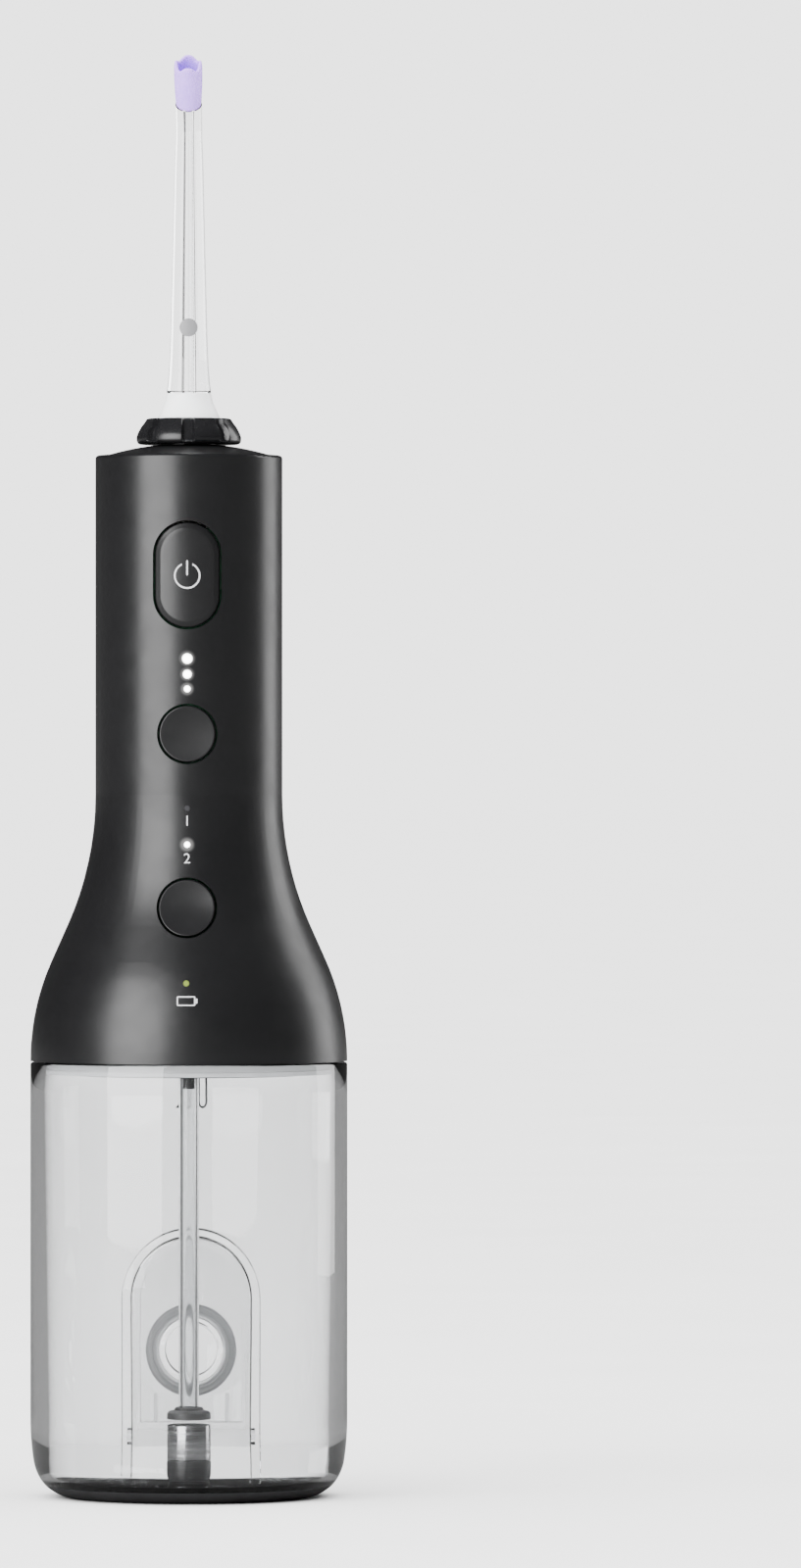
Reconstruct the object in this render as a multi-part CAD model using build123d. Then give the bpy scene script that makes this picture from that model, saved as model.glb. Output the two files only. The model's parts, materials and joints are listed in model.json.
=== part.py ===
from build123d import *
from math import acos, atan2, cos, pi, radians, sin, sqrt, tan
import os

# Cordless water flosser: a clear round reservoir, a black handle that narrows from the reservoir
# to a slim neck, and a turning dial that carries a pull-out nozzle.
# Millimetres. +Z up, origin at the centre of the base on the surface it stands on, front is -Y.

# ---- reservoir ----
tank_radius = 34.75
tank_wall = 3.0  # wall thickness at the rim
tank_draft = 1.1  # how much narrower the inside is at its floor
tank_top = 95.2
tank_floor = 2.0
pad_floor = 1.4
pad_lip = 2.5  # height of the base pad's outer lip
side_arc_radius = 60.0
side_arc_angle = 8.6
corner_radius = 10.5
corner_angle = 33.4
floor_fillet = 4.0
rim_gap = 0.3  # between the reservoir's rim and the handle's skirt
rim_straight = 4.0  # height inside the rim that isn't drafted
pad_rim = 1.8  # from the reservoir's lowest edge in to the pad's seat
pad_inset = 4.7018  # how far the pad's foot stands in from its lip
pad_bulge = 0.42

# ---- fill door at the back of the reservoir ----
door_half_width = 13.5
door_gap = 0.35
door_thickness = 1.8
pocket_top = 54.9
pocket_wall = 2.2
pocket_depth = 6.75  # from the reservoir's outer radius to the pocket's flat face
hinge_z = 11.5
hinge_inset = 1.7  # from the pocket's flat face to the hinge axis
hinge_pin_radius = 0.9
hinge_pin_length = 1.3
door_foot = 1.1  # how far the door reaches below the hinge axis
fill_hole_z = 29.8
fill_hole_radius = 8.7
fill_plug_radius = 8.25
fill_flange_radius = 10.4
fill_plug_bore = 7.4
door_face_gap = 0.3  # between the pocket's flat face and the door
door_sill = 3.2  # solid height along the door's foot
boss_wall = 1.4
scoop_radius = 6.0  # finger scoop in the reservoir above the door
grip_radius = 5.0  # matching scoop in the door's top
scoop_length = 4.0

# ---- handle ----
wall = 2.2
neck_radius = 20.5
handle_height = 133.0  # from the reservoir's rim to the top of the neck
neck_top = tank_top + handle_height
plate_thickness = 2.5
seal_depth = 1.6  # radial depth of the reservoir's seal
spigot_depth = 3.0  # how far the handle's spigot reaches into the reservoir
plate_top = tank_top + rim_gap + plate_thickness
deck_z = plate_top + 19.0  # underside of the inner carrier's deck
flare_angle = 24.0
shoulder_radius = 54.0
waist_radius = 70.0
shell_edge_fillet = 0.7
dome_radius = 62.7
slip = 0.1  # gap between pieces that are pushed together

# ---- controls, all centred on the front ----
power_z = neck_top - 26.5
power_width = 14.0
power_height = 22.8
intensity_z = neck_top - 61.1
mode_z = plate_top + 31.3
round_button_radius = 6.1
button_gap = 0.48
button_flange = 0.8
flange_thickness = 0.7
button_travel = 0.5
button_bevel = 1.3
dish_radius = 26.0
dish_depth = 0.7
light_rise = 16.4  # from the intensity button's centre to its top light
intensity_lights = [  # height and radius of each
    (intensity_z + light_rise, 1.1),
    (intensity_z + light_rise - 3.4, 0.92),
    (intensity_z + light_rise - 6.6, 0.7),
]
mode_lights = [(mode_z + 21.6, 0.6), (mode_z + 13.7, 0.65)]
battery_light = (plate_top + 15.0, 0.65)
light_gap = 0.05
guide_bar_depth = 1.0

# ---- control board ----
board_front = 14.6  # distance of the board's face in front of the axis
board_thickness = 1.6
board_half_width = 9.0
board_tongue_half_width = 4.5
board_bottom = plate_top + 12.5
board_top = neck_top - 16.2
switch_size = 5.2
switch_height = 1.5
plunger_radius = 1.5
plunger_rise = 0.6
plunger_length = 1.3
stem_radius = 1.7
board_screw_x = 5.4
board_screw_heights = (deck_z + 31.0, deck_z + 71.0)
chip_z = deck_z + 36.5
chip_height = 1.0
led_size = 1.8
led_height = 0.8

# ---- inner carrier ----
deck_thickness = 2.5
spine_front = 12.2
spine_thickness = 1.4
spine_half_width = 7.0
shelf_half_width = 10.0
shelf_thickness = 1.6
post_radius = 2.8
post_x = 14.0
post_y = 16.5
screw_radius = 0.9
screw_head_radius = 1.8
screw_head_height = 1.2
screw_length = 8.0

# ---- battery and motor ----
battery_radius = 9.2
battery_length = 50.0
battery_y = 1.0
tab_thickness = 0.3
cradle_wall = 1.5
motor_radius = 8.5
motor_length = 24.0
motor_cap_length = 4.0
motor_shaft_radius = 1.0
motor_boss_radius = 3.0
motor_boss_height = 1.2

# ---- gear train and pump ----
module = 0.5
pinion_teeth = 12
gear_teeth = 40
profile_shift = 0.3
pressure_angle = 20.0
backlash = 0.08
gear_face = 3.0
gear_z = plate_top + 15.4
gear_x = -8.0
axle_radius = 1.5
running = 0.04
crank_throw = 1.75
crank_pin_radius = 1.6
pump_z = plate_top + 10.4
yoke_thickness = 3.0
yoke_wall = 1.8
piston_radius = 3.0
piston_length = 6.0
pump_wall = 1.6
pump_foot_height = 2.0
rod_radius = 1.6
valve_x = 20.0
valve_block_half = 4.5
ball_radius = 1.6
chamber_radius = 2.0
port_radius = 1.2

# ---- water path ----
hose_radius = 2.2
hose_bore = 1.35
hose_end_gap = 0.35  # between the filter and the reservoir's floor
hose_socket_depth = 1.6  # how far the hose goes into its collar
weight_bore = 1.2
nipple_radius = 1.3
nipple_length = 3.8
fitting_radius = 2.4
fitting_flange_radius = 3.4
fitting_flange_height = 0.8
spur_radius = 1.15  # spurs that the suction tube pushes on to
spur_bore = 0.7
spur_reach = 6.0
fitting_bore = 0.8
weight_radius = 4.85
weight_length = 7.1
collar_length = 2.8
filter_length = 5.6
tube_radius = 1.8
tube_bore = 1.1
riser_x = 15.5

# ---- nozzle and its dial ----
dial_height = 5.7
dial_radius = 11.65
dial_hub_radius = 6.2
dial_sleeve_radius = 5.25
turning = 0.1  # running gap round the dial
dial_grooves = 8
groove_width = 2.4
groove_depth = 1.3
cone_height = 5.8
cone_base_radius = 7.15
cone_top_radius = 4.9
cone_waist_radius = 5.75
spigot_wall = 1.3
spigot_length = 4.3
stem_shaft_radius = 3.7
stem_collar_radius = 4.8
stem_collar_length = 4.3
stem_groove_radius = 2.84
stem_groove_top = neck_top - 5.6
stem_groove_bottom = neck_top - 8.2
stem_bottom = neck_top - 16.0
nozzle_bore = 0.9
nozzle_foot_radius = 4.75
nozzle_mid_radius = 3.85
nozzle_mid_z = neck_top + 31.8
nozzle_neck_radius = 2.9
nozzle_bend_z = neck_top + 69.5
nozzle_bend_radius = 12.0
nozzle_bend_angle = 38.0
tip_length = 11.3
tip_radius = 3.1
tip_foot_radius = 2.75
tip_wall = 0.65
tip_overlap = 3.0
petal_depth = 1.1
jet_radius = 0.5
tip_bowl_depth = 4.2
socket_radius = 6.5
socket_flange_radius = 10.6
o_ring_rise = 4.0  # height of the O-ring above the stem's foot
o_ring_depth = 1.3
clip_wire = 0.45
clip_leg_end = 8.0
release_z = neck_top - 9.2
release_width = 9.0
release_height = 7.0

# ---- charging inlet at the back ----
inlet_z = plate_top + 10.0
inlet_width = 12.0
inlet_height = 7.0
inlet_mouth_width = 8.0
inlet_mouth_height = 3.4
inlet_mouth_depth = 4.5
cover_thickness = 1.1
cover_gap = 0.25
pin_x = 1.8
pin_radius = 0.48

# ---- worked out from the sizes above ----
tank_floor_top = pad_floor + tank_floor
mouth_radius = tank_radius - tank_wall
skirt_z = tank_top + rim_gap
spigot_bottom = tank_top - spigot_depth
neck_inner = neck_radius - wall
pocket_face = tank_radius - pocket_depth
pocket_half_width = door_half_width + door_gap
arch_z = pocket_top - pocket_half_width
hinge_y = pocket_face + hinge_inset
deck_top = deck_z + deck_thickness
motor_x = gear_x + module * (pinion_teeth + gear_teeth) / 2
motor_top = deck_top + motor_length
shelf_z = motor_top + 0.8
battery_z = shelf_z + shelf_thickness + tab_thickness
top_shelf_z = battery_z + battery_length + tab_thickness + 0.5
spine_back = spine_front - spine_thickness
board_back = board_front - board_thickness
bore_radius = piston_radius + running
piston_x = gear_x + 14.0
valve_block_x = valve_x - valve_block_half
inlet_seat_top = pump_z - 6.4
outlet_seat_z = pump_z + 2.5
valve_block_bottom = plate_top + 0.8
valve_block_top = outlet_seat_z + 5.2
suction_z = valve_block_bottom + 1.9
cap_radius = neck_inner - slip
cap_crown = neck_top + dome_radius - sqrt(dome_radius**2 - cap_radius**2)
cap_bore_edge = cap_crown - dome_radius + sqrt(dome_radius**2 - (dial_hub_radius + turning) ** 2)
dial_bottom = cap_bore_edge + 0.05
dial_top = dial_bottom + dial_height
cone_bottom = dial_top - 0.3
cone_top = cone_bottom + cone_height
gap_seat = 0.02


def flared_wall(inset):
    """The handle's side from its skirt to the top of its neck, moved inwards by inset."""
    turn = radians(flare_angle)
    rise = 1 - cos(turn)
    straight = (tank_radius - neck_radius - (shoulder_radius + waist_radius) * rise) / sin(turn)
    low = Edge.make_line((tank_radius - inset, skirt_z), (tank_radius - inset, skirt_z + 0.01))
    shoulder = JernArc(low @ 1, (0, 1), shoulder_radius - inset, flare_angle)
    slope = Edge.make_line(shoulder @ 1, shoulder @ 1 + straight * (shoulder % 1))
    waist = JernArc(slope @ 1, slope % 1, waist_radius + inset, -flare_angle)
    neck = Edge.make_line(waist @ 1, (neck_radius - inset, neck_top))
    return [low, shoulder, slope, waist, neck]


def wall_radius(height, inset=0.0):
    """Radius of the handle's side at a height."""
    shape = handle_body(inset)
    cut = shape & (Pos(0, 0, height) * Cylinder(tank_radius + 5, 0.02))
    return cut.bounding_box().max.X


def turned(edges):
    """A solid turned about Z from edges drawn as radius and height."""
    return revolve(Plane.XZ * make_face(edges), Axis.Z)


def turned_outline(*points):
    """A solid turned about Z from corners given as radius and height."""
    return turned(Polyline(*points, close=True).edges())


def handle_body(inset):
    """Everything inside the handle's side, moved inwards by inset."""
    side = flared_wall(inset)
    low, high = side[0] @ 0, side[-1] @ 1
    closing = [
        Edge.make_line(high, (0, high.Y)),
        Edge.make_line((0, high.Y), (0, low.Y)),
        Edge.make_line((0, low.Y), low),
    ]
    return turned(side + closing)


def rod(radius, low, high, x=0.0, y=0.0):
    """An upright cylinder between two heights."""
    return Pos(x, y, (low + high) / 2) * Cylinder(radius, high - low)


def ring(outer, inner, low, high, x=0.0, y=0.0):
    return rod(outer, low, high, x, y) - rod(inner, low - 1, high + 1, x, y)


def rod_x(radius, x_low, x_high, y, z):
    """A cylinder along X."""
    return Pos((x_low + x_high) / 2, y, z) * Rot(0, 90, 0) * Cylinder(radius, x_high - x_low)


def rod_y(radius, y_low, y_high, x, z):
    """A cylinder along Y."""
    return Pos(x, (y_low + y_high) / 2, z) * Rot(90, 0, 0) * Cylinder(radius, y_high - y_low)


def block(x, y, z):
    """A box given by its low and high value on each axis."""
    return Pos(sum(x) / 2, sum(y) / 2, sum(z) / 2) * Box(x[1] - x[0], y[1] - y[0], z[1] - z[0])


def slot_prism(width, height, y, z):
    """A prism along Y, between two values of Y, with a stadium outline centred at height z."""
    radius = min(width, height) / 2
    outline = RectangleRounded(width, height, radius - 0.001)
    return Pos(0, y[0], z) * extrude(Plane.XZ * outline, -(y[1] - y[0]))


def arch_prism(half_width, low, top, y):
    """A prism along Y, between two values of Y, with straight sides and a half-round top."""
    straight = block((-half_width, half_width), y, (low, top - half_width))
    return straight + rod_y(half_width, y[0], y[1], 0, top - half_width)


def screw(x, y, z, length=screw_length):
    """A pan-head screw whose head sits on height z and whose shank points down."""
    shank = rod(screw_radius - gap_seat, z - length, z, x, y)
    head = rod(screw_head_radius, z, z + screw_head_height, x, y)
    slot = block(
        (x - screw_head_radius, x + screw_head_radius), (y - 0.25, y + 0.25), (z + 0.7, z + 2)
    )
    return shank + head - slot


# ---------------------------------------------------------------- reservoir
def tank_side():
    """The reservoir's outer side below its straight wall, down to the pad's lip."""
    start = Edge.make_line((tank_radius, tank_top), (tank_radius, side_arc_start()))
    gentle = JernArc(start @ 1, (0, -1), side_arc_radius, -side_arc_angle)
    corner = JernArc(gentle @ 1, gentle % 1, corner_radius, -corner_angle)
    return [start, gentle, corner]


def side_arc_start():
    """Height where the reservoir's side starts to curve in, so that its corner ends at the pad's lip."""
    gentle = side_arc_radius * sin(radians(side_arc_angle))
    whole = radians(side_arc_angle + corner_angle)
    corner = corner_radius * (sin(whole) - sin(radians(side_arc_angle)))
    return pad_lip + gentle + corner


def tank_outside():
    side = tank_side()
    foot = side[-1] @ 1
    closing = [
        Edge.make_line(foot, (0, foot.Y)),
        Edge.make_line((0, foot.Y), (0, tank_top)),
        Edge.make_line((0, tank_top), (tank_radius, tank_top)),
    ]
    return turned(side + closing)


def tank_inside():
    hollow = turned_outline(
        (0, tank_floor_top),
        (mouth_radius - tank_draft, tank_floor_top),
        (mouth_radius, tank_top - rim_straight),
        (mouth_radius, tank_top + 1),
        (0, tank_top + 1),
    )
    floor_edge = hollow.edges().filter_by(GeomType.CIRCLE).sort_by(Axis.Z)[0]
    return fillet(floor_edge, floor_fillet)


def pad_seat_radius():
    foot = tank_side()[-1] @ 1
    return foot.X - pad_rim


def make_reservoir():
    outside = tank_outside()
    hub = rod(pad_seat_radius(), pad_floor, pad_lip + 0.5)
    frame = arch_prism(
        pocket_half_width + pocket_wall,
        tank_floor_top - 1,
        pocket_top + pocket_wall,
        (pocket_face - pocket_wall, tank_radius + 1),
    )
    body = outside + hub - (tank_inside() - frame)
    pocket = arch_prism(
        pocket_half_width, tank_floor_top, pocket_top, (pocket_face, tank_radius + 1)
    )
    body -= pocket
    body -= rod_y(fill_hole_radius, pocket_face - 10, pocket_face + 1, 0, fill_hole_z)
    reach = pocket_half_width + hinge_pin_length + 0.25
    body -= rod_x(hinge_pin_radius + 0.06, -reach, reach, hinge_y, hinge_z)
    scoop = Pos(0, tank_radius + 1.2, pocket_top) * Rot(90, 0, 0) * Cylinder(scoop_radius, scoop_length)
    return body - scoop


def make_fill_door():
    low = hinge_z - door_foot
    top = pocket_top - door_gap
    faces = (pocket_face + door_face_gap, tank_radius + 1)
    outside = arch_prism(door_half_width, low, top, faces) & rod(tank_radius, low, top)
    hollow = arch_prism(door_half_width - door_thickness, low + door_sill, top - door_thickness, faces)
    door = outside - (hollow & rod(tank_radius - door_thickness, low, top))
    door -= block((-tank_radius, tank_radius), (pocket_face, pocket_face + 1.0), (low - 1, low + 0.7))
    boss_radius = fill_plug_bore - 0.05
    boss = rod_y(boss_radius, pocket_face - 0.6, tank_radius - 1, 0, fill_hole_z)
    boss -= rod_y(boss_radius - boss_wall, pocket_face - 1, tank_radius - 1, 0, fill_hole_z)
    door += boss & rod(tank_radius - 0.5, low, top)
    reach = door_half_width + hinge_pin_length
    pins = rod_x(hinge_pin_radius, -reach, reach, hinge_y, hinge_z)
    pins &= rod(tank_radius - 0.2, 0, tank_top)
    grip = Pos(0, tank_radius + 0.6, top + 0.5) * Rot(90, 0, 0) * Cylinder(grip_radius, scoop_length)
    return door + pins - grip


def make_fill_door_seal():
    face = pocket_face + door_face_gap
    flange = rod_y(fill_flange_radius, face - 0.25, face - 0.001, 0, fill_hole_z)
    plug = rod_y(fill_plug_radius, face - 1.3, face - 0.001, 0, fill_hole_z)
    plug = chamfer(plug.edges().filter_by(GeomType.CIRCLE).sort_by(Axis.Y)[0], 0.35)
    bore = rod_y(fill_plug_bore, face - 5, face + 5, 0, fill_hole_z)
    return flange + plug - bore


def make_base_pad():
    lip = tank_side()[-1] @ 1
    foot = lip.X - pad_inset
    seat = pad_seat_radius() + slip
    edges = [
        ThreePointArc(lip, (lip.X - pad_inset * pad_bulge, pad_lip * pad_bulge), (foot, 0)),
        Edge.make_line((foot, 0), (0, 0)),
        Edge.make_line((0, 0), (0, pad_floor)),
        Edge.make_line((0, pad_floor), (seat, pad_floor)),
        Edge.make_line((seat, pad_floor), (seat, pad_lip)),
        Edge.make_line((seat, pad_lip), lip),
    ]
    return turned(edges)


# ---------------------------------------------------------------- intake hose in the reservoir
def hose_top():
    return spigot_bottom - 0.2


def hose_bottom():
    return tank_floor_top + hose_end_gap + filter_length + weight_length + collar_length


def make_intake_hose():
    path = Edge.make_line((0, 0, hose_bottom() - hose_socket_depth), (0, 0, hose_top()))
    section = Circle(hose_radius) - Circle(hose_bore)
    return sweep(Plane(path @ 0, z_dir=path % 0) * section, path)


def make_hose_collar():
    low = hose_bottom() - collar_length
    body = turned_outline(
        (0, low),
        (weight_radius, low),
        (weight_radius + 0.1, low + 1.4),
        (weight_radius - 0.9, low + 2.2),
        (hose_radius + 0.5, low + collar_length),
        (0, low + collar_length),
    )
    body -= rod(hose_radius + gap_seat, low + collar_length - hose_socket_depth, low + 9)
    return body - rod(weight_bore, low - 1, low + 9)


def make_hose_weight():
    low = hose_bottom() - collar_length - weight_length
    body = fillet(rod(weight_radius - 0.1, low, low + weight_length).edges(), 0.25)
    return body - rod(weight_bore, low - 1, low + weight_length + 1)


def make_hose_filter():
    low = tank_floor_top + hose_end_gap
    high = low + filter_length
    edges = [
        Edge.make_line((0, high), (weight_radius, high)),
        ThreePointArc((weight_radius, high), (weight_radius - 0.05, high - 2.6), (weight_radius - 0.4, low)),
        Edge.make_line((weight_radius - 0.4, low), (0, low)),
        Edge.make_line((0, low), (0, high)),
    ]
    body = turned(edges) - rod(weight_bore, low + 2.0, high + 1)
    for turn in range(0, 180, 30):
        body -= Pos(0, 0, low + 0.6) * Rot(0, 0, turn) * Box(weight_radius * 3, 0.7, 1.3)
    return body


def make_intake_fitting():
    top = suction_z + 1.6
    body = rod(nipple_radius, hose_top() - nipple_length, hose_top() + 1)
    body += rod(fitting_radius, hose_top() + 0.2, top)
    body += rod(fitting_flange_radius, plate_top, plate_top + fitting_flange_height)
    body += rod_x(spur_radius, 0, spur_reach, 0, suction_z)
    body -= rod(fitting_bore, hose_top() - nipple_length - 1, suction_z)
    return body - rod_x(spur_bore, 0, spur_reach + 1, 0, suction_z)


# ---------------------------------------------------------------- handle structure
def make_reservoir_seal():
    low = spigot_bottom + 0.3
    high = tank_top - 0.15
    outer = mouth_radius - 0.05
    body = ring(outer, mouth_radius - seal_depth, low, high)
    return body - ring(outer + 1, outer - 0.35, low + 0.9, high - 0.9)


def make_base_plate():
    flange = rod(tank_radius - wall - slip, skirt_z, plate_top)
    spigot = rod(mouth_radius - seal_depth - gap_seat, spigot_bottom, skirt_z)
    body = flange + spigot - rod(mouth_radius - 4.0, spigot_bottom - 1, spigot_bottom + 2.2)
    body += rod(fitting_radius + 2.0, spigot_bottom, spigot_bottom + 2.3)
    body -= rod(fitting_radius + gap_seat, 0, plate_top + 1)
    for x in (-post_x, post_x):
        for y in (-post_y, post_y):
            body += rod(post_radius, plate_top, deck_z, x, y)
            body -= rod(screw_radius, deck_z - screw_length, deck_z + 1, x, y)
    for y in (-pump_screw_y(), pump_screw_y()):
        body -= rod(screw_radius, skirt_z + 0.3, plate_top + 1, pump_screw_x(), y)
    return body


def button_hole(width, height, z, side):
    """The hole through the shell for a button, or any other stadium-shaped opening."""
    reach = (0, tank_radius + 5) if side > 0 else (-tank_radius - 5, 0)
    return slot_prism(width + 2 * button_gap, height + 2 * button_gap, reach, z)


def light_rod(radius, z, inset_gap=0.0):
    return rod_y(radius + inset_gap, -tank_radius - 5, -board_front, 0, z)


def make_housing_shell():
    body = handle_body(0)
    top_edge = body.edges().filter_by(GeomType.CIRCLE).sort_by(Axis.Z)[-1]
    body = fillet(top_edge, shell_edge_fillet)
    body -= handle_body(wall)
    body -= button_hole(power_width, power_height, power_z, -1)
    for z in (intensity_z, mode_z):
        body -= button_hole(2 * round_button_radius, 2 * round_button_radius, z, -1)
    for z, radius in intensity_lights + mode_lights + [battery_light]:
        body -= light_rod(radius, z, light_gap)
    body -= button_hole(release_width, release_height, release_z, 1)
    body -= button_hole(inlet_width, inlet_height, inlet_z, 1)
    return body


def make_top_cap():
    dome = rod(cap_radius, neck_top - 3.0, cap_crown + 1)
    body = dome & (Pos(0, 0, cap_crown - dome_radius) * Sphere(dome_radius))
    body -= rod(cap_radius - 1.8, neck_top - 4, neck_top - 1.2)
    body += rod(socket_flange_radius, neck_top - 2.4, neck_top - 1.1)
    body -= rod(dial_hub_radius + turning, neck_top - 4, cap_crown + 1)
    for x, y in cap_screw_places():
        body -= rod(screw_radius, neck_top - 3, neck_top - 0.6, x, y)
    return body


def cap_screw_places():
    reach = socket_radius + screw_head_radius + 0.2
    return [(reach * cos(radians(a)), reach * sin(radians(a))) for a in (60, 180, 300)]


def button(width, height, z, side, crown=None):
    """A button cap with a wider flange behind the wall. side is -1 on the front and 1 on the back."""
    reach = (0, tank_radius + 5) if side > 0 else (-tank_radius - 5, 0)
    back = wall + slip + flange_thickness
    cap = slot_prism(width, height, reach, z) & handle_body(0)
    if crown:
        cap -= crown
    wide = slot_prism(width + 2 * button_flange, height + 2 * button_flange, reach, z)
    flange = wide & handle_body(wall + slip)
    return cap + flange - handle_body(back)


def stem_to_switch(z, body):
    """Adds the post that reaches from a front button to its switch."""
    tip = board_front + switch_height + plunger_rise + gap_seat
    post = rod_y(stem_radius, -tank_radius, -tip, 0, z) & handle_body(wall + slip)
    return body + post


def make_power_button():
    face = neck_radius - 0.05
    outer = slot_prism(power_width + 1, power_height + 1, (-tank_radius, 0), power_z)
    inner = slot_prism(
        power_width - 2 * button_bevel, power_height - 2 * button_bevel, (-tank_radius, 0), power_z
    )
    lowered = outer - inner - rod(face - 0.35, power_z - 30, power_z + 30)
    body = button(power_width, power_height, power_z, -1, lowered)
    return stem_to_switch(power_z, body)


def dished_button(z):
    surface = wall_radius(z)
    tilt = atan2(wall_radius(z - 1) - wall_radius(z + 1), 2)
    centre_y = -(surface + (dish_radius - dish_depth) * cos(tilt))
    centre_z = z + (dish_radius - dish_depth) * sin(tilt)
    dish = Pos(0, centre_y, centre_z) * Sphere(dish_radius)
    size = 2 * round_button_radius
    return stem_to_switch(z, button(size, size, z, -1, dish))


def make_switch_plunger(z):
    front = board_front + switch_height + plunger_rise
    return rod_y(plunger_radius, -front, -front + plunger_length, 0, z)


def make_tact_switches():
    half = switch_size / 2
    solids = []
    for z in (power_z, intensity_z, mode_z):
        case = block((-half, half), (-board_front - switch_height, -board_front), (z - half, z + half))
        depth = plunger_length - plunger_rise + button_travel + 0.05
        front = board_front + switch_height
        solids.append(case - rod_y(plunger_radius + running, -front - 1, -front + depth, 0, z))
    return Compound(children=solids)


def make_control_board():
    half = board_half_width
    body = block((-half, half), (-board_front, -board_back), (deck_top + 1.5, board_top))
    tongue = board_tongue_half_width
    body += block((-tongue, tongue), (-board_front, -board_back), (board_bottom, deck_top + 2))
    for x, z in board_screw_places():
        body -= rod_y(screw_radius + 0.1, -board_front - 1, -board_back + 1, x, z)
    chips = (-board_front - chip_height, -board_front)
    body += block((-6.5, -3.6), chips, (chip_z, chip_z + 5.0))
    body += block((3.8, 6.2), chips, (chip_z + 0.5, chip_z + 3.5))
    return body


def board_screw_places():
    return [(x, z) for z in board_screw_heights for x in (-board_screw_x, board_screw_x)]


def make_indicator_leds():
    half = led_size / 2
    solids = []
    for z, _ in intensity_lights + mode_lights + [battery_light]:
        y = (-board_front - led_height, -board_front)
        solids.append(block((-half, half), y, (z - half * 0.8, z + half * 0.8)))
    return Compound(children=solids)


def make_light_guide(lights):
    """Clear rods from the lamps to the handle's surface, joined by a bar behind the wall."""
    shape = None
    for z, radius in lights:
        post = rod_y(radius, -tank_radius, -board_front - led_height - 0.1, 0, z) & handle_body(0)
        shape = post if shape is None else shape + post
    if len(lights) > 1:
        heights = [z for z, _ in lights]
        face = neck_inner - 0.6
        bar = block((-1.0, 1.0), (-face, -face + guide_bar_depth), (min(heights) - 1, max(heights) + 1))
        shape += bar
    else:
        z, radius = lights[0]
        face = wall_radius(z, wall) - 1.2
        shape += rod_y(radius + 0.6, -face, -face + guide_bar_depth, 0, z)
    return shape


def make_inner_carrier():
    deck = rod(wall_radius(deck_top, wall) - 0.7, deck_z, deck_top)
    slot_half = board_tongue_half_width + 0.5
    deck -= block((-slot_half, slot_half), (-40, -board_back + 0.3), (deck_z - 1, deck_top + 1))
    deck -= rod(motor_boss_radius + 0.15, deck_z - 1, deck_top + 1, motor_x)
    deck -= rod(axle_radius, deck_z - 1, deck_top + 1, gear_x)
    deck -= rod(tube_radius + 1.2, deck_z - 1, deck_top + 1, valve_x)
    for x in (-post_x, post_x):
        for y in (-post_y, post_y):
            deck -= rod(screw_radius + 0.05, deck_z - 1, deck_top + 1, x, y)
    for y in (-motor_screw_y(), motor_screw_y()):
        deck -= rod(screw_radius + 0.05, deck_z - 1, deck_top + 1, motor_x, y)
    spine_y = (-spine_front, -spine_back)
    body = deck + block((-spine_half_width, spine_half_width), spine_y, (deck_top, top_shelf_z + shelf_thickness))
    for z in (shelf_z, top_shelf_z):
        shelf_y = (-spine_back, battery_y + battery_radius + cradle_wall)
        body += block((-shelf_half_width, shelf_half_width), shelf_y, (z, z + shelf_thickness))
    for low in (battery_z + 5, battery_z + battery_length - 9):
        hoop = ring(battery_radius + 0.1 + cradle_wall, battery_radius + 0.1, low, low + 4, 0, battery_y)
        link = block((-4, 4), (-spine_back, battery_y - battery_radius - 0.6), (low, low + 4))
        body += hoop + link
    for x, z in board_screw_places():
        body += rod_y(1.9, -board_back, -spine_front, x, z)
        body -= rod_y(screw_radius, -board_back - 1, -spine_back + 1, x, z)
    return body


def motor_screw_y():
    return motor_radius - 2.6


def pump_screw_y():
    return valve_block_half + 3.0


def pump_screw_x():
    return valve_block_x + 2.5


def board_screw(x, z):
    shank = rod_y(screw_radius - gap_seat, -board_front, -spine_front + 1.0, x, z)
    head = rod_y(screw_head_radius, -board_front - 0.9, -board_front, x, z)
    return shank + head


def make_case_screws():
    solids = [screw(x, y, deck_top) for x in (-post_x, post_x) for y in (-post_y, post_y)]
    for y in (-pump_screw_y(), pump_screw_y()):
        solids.append(screw(pump_screw_x(), y, plate_top + pump_foot_height, 3.5))
    for y in (-motor_screw_y(), motor_screw_y()):
        upright = Pos(motor_x, y, deck_z) * Rot(180, 0, 0) * screw(0, 0, 0, deck_thickness + 2.0)
        solids.append(upright)
    for x, y in cap_screw_places():
        solids.append(Pos(x, y, socket_flange_bottom()) * Rot(180, 0, 0) * screw(0, 0, 0, 2.6))
    solids += [board_screw(x, z) for x, z in board_screw_places()]
    return Compound(children=solids)


# ---------------------------------------------------------------- battery and motor
def make_battery_cell():
    body = rod(battery_radius, battery_z, battery_z + battery_length, 0, battery_y)
    return fillet(body.edges(), 0.6)


def make_battery_tabs():
    solids = []
    for low in (battery_z - tab_thickness, battery_z + battery_length):
        pad = block((-3.0, 3.0), (battery_y - 4.0, battery_y + 4.0), (low, low + tab_thickness))
        strip = block((3.0, 9.0), (battery_y - 1.5, battery_y + 1.5), (low, low + tab_thickness))
        solids.append(pad + strip)
    return Compound(children=solids)


def make_motor_can():
    body = rod(motor_radius, deck_top, motor_top - motor_cap_length, motor_x)
    body += rod(motor_boss_radius, deck_top - motor_boss_height, deck_top, motor_x)
    body -= rod(motor_shaft_radius + running, deck_top - 2, deck_top + 4, motor_x)
    for y in (-motor_screw_y(), motor_screw_y()):
        body -= rod(screw_radius, deck_top - 1, deck_top + 2.5, motor_x, y)
    return body


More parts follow.
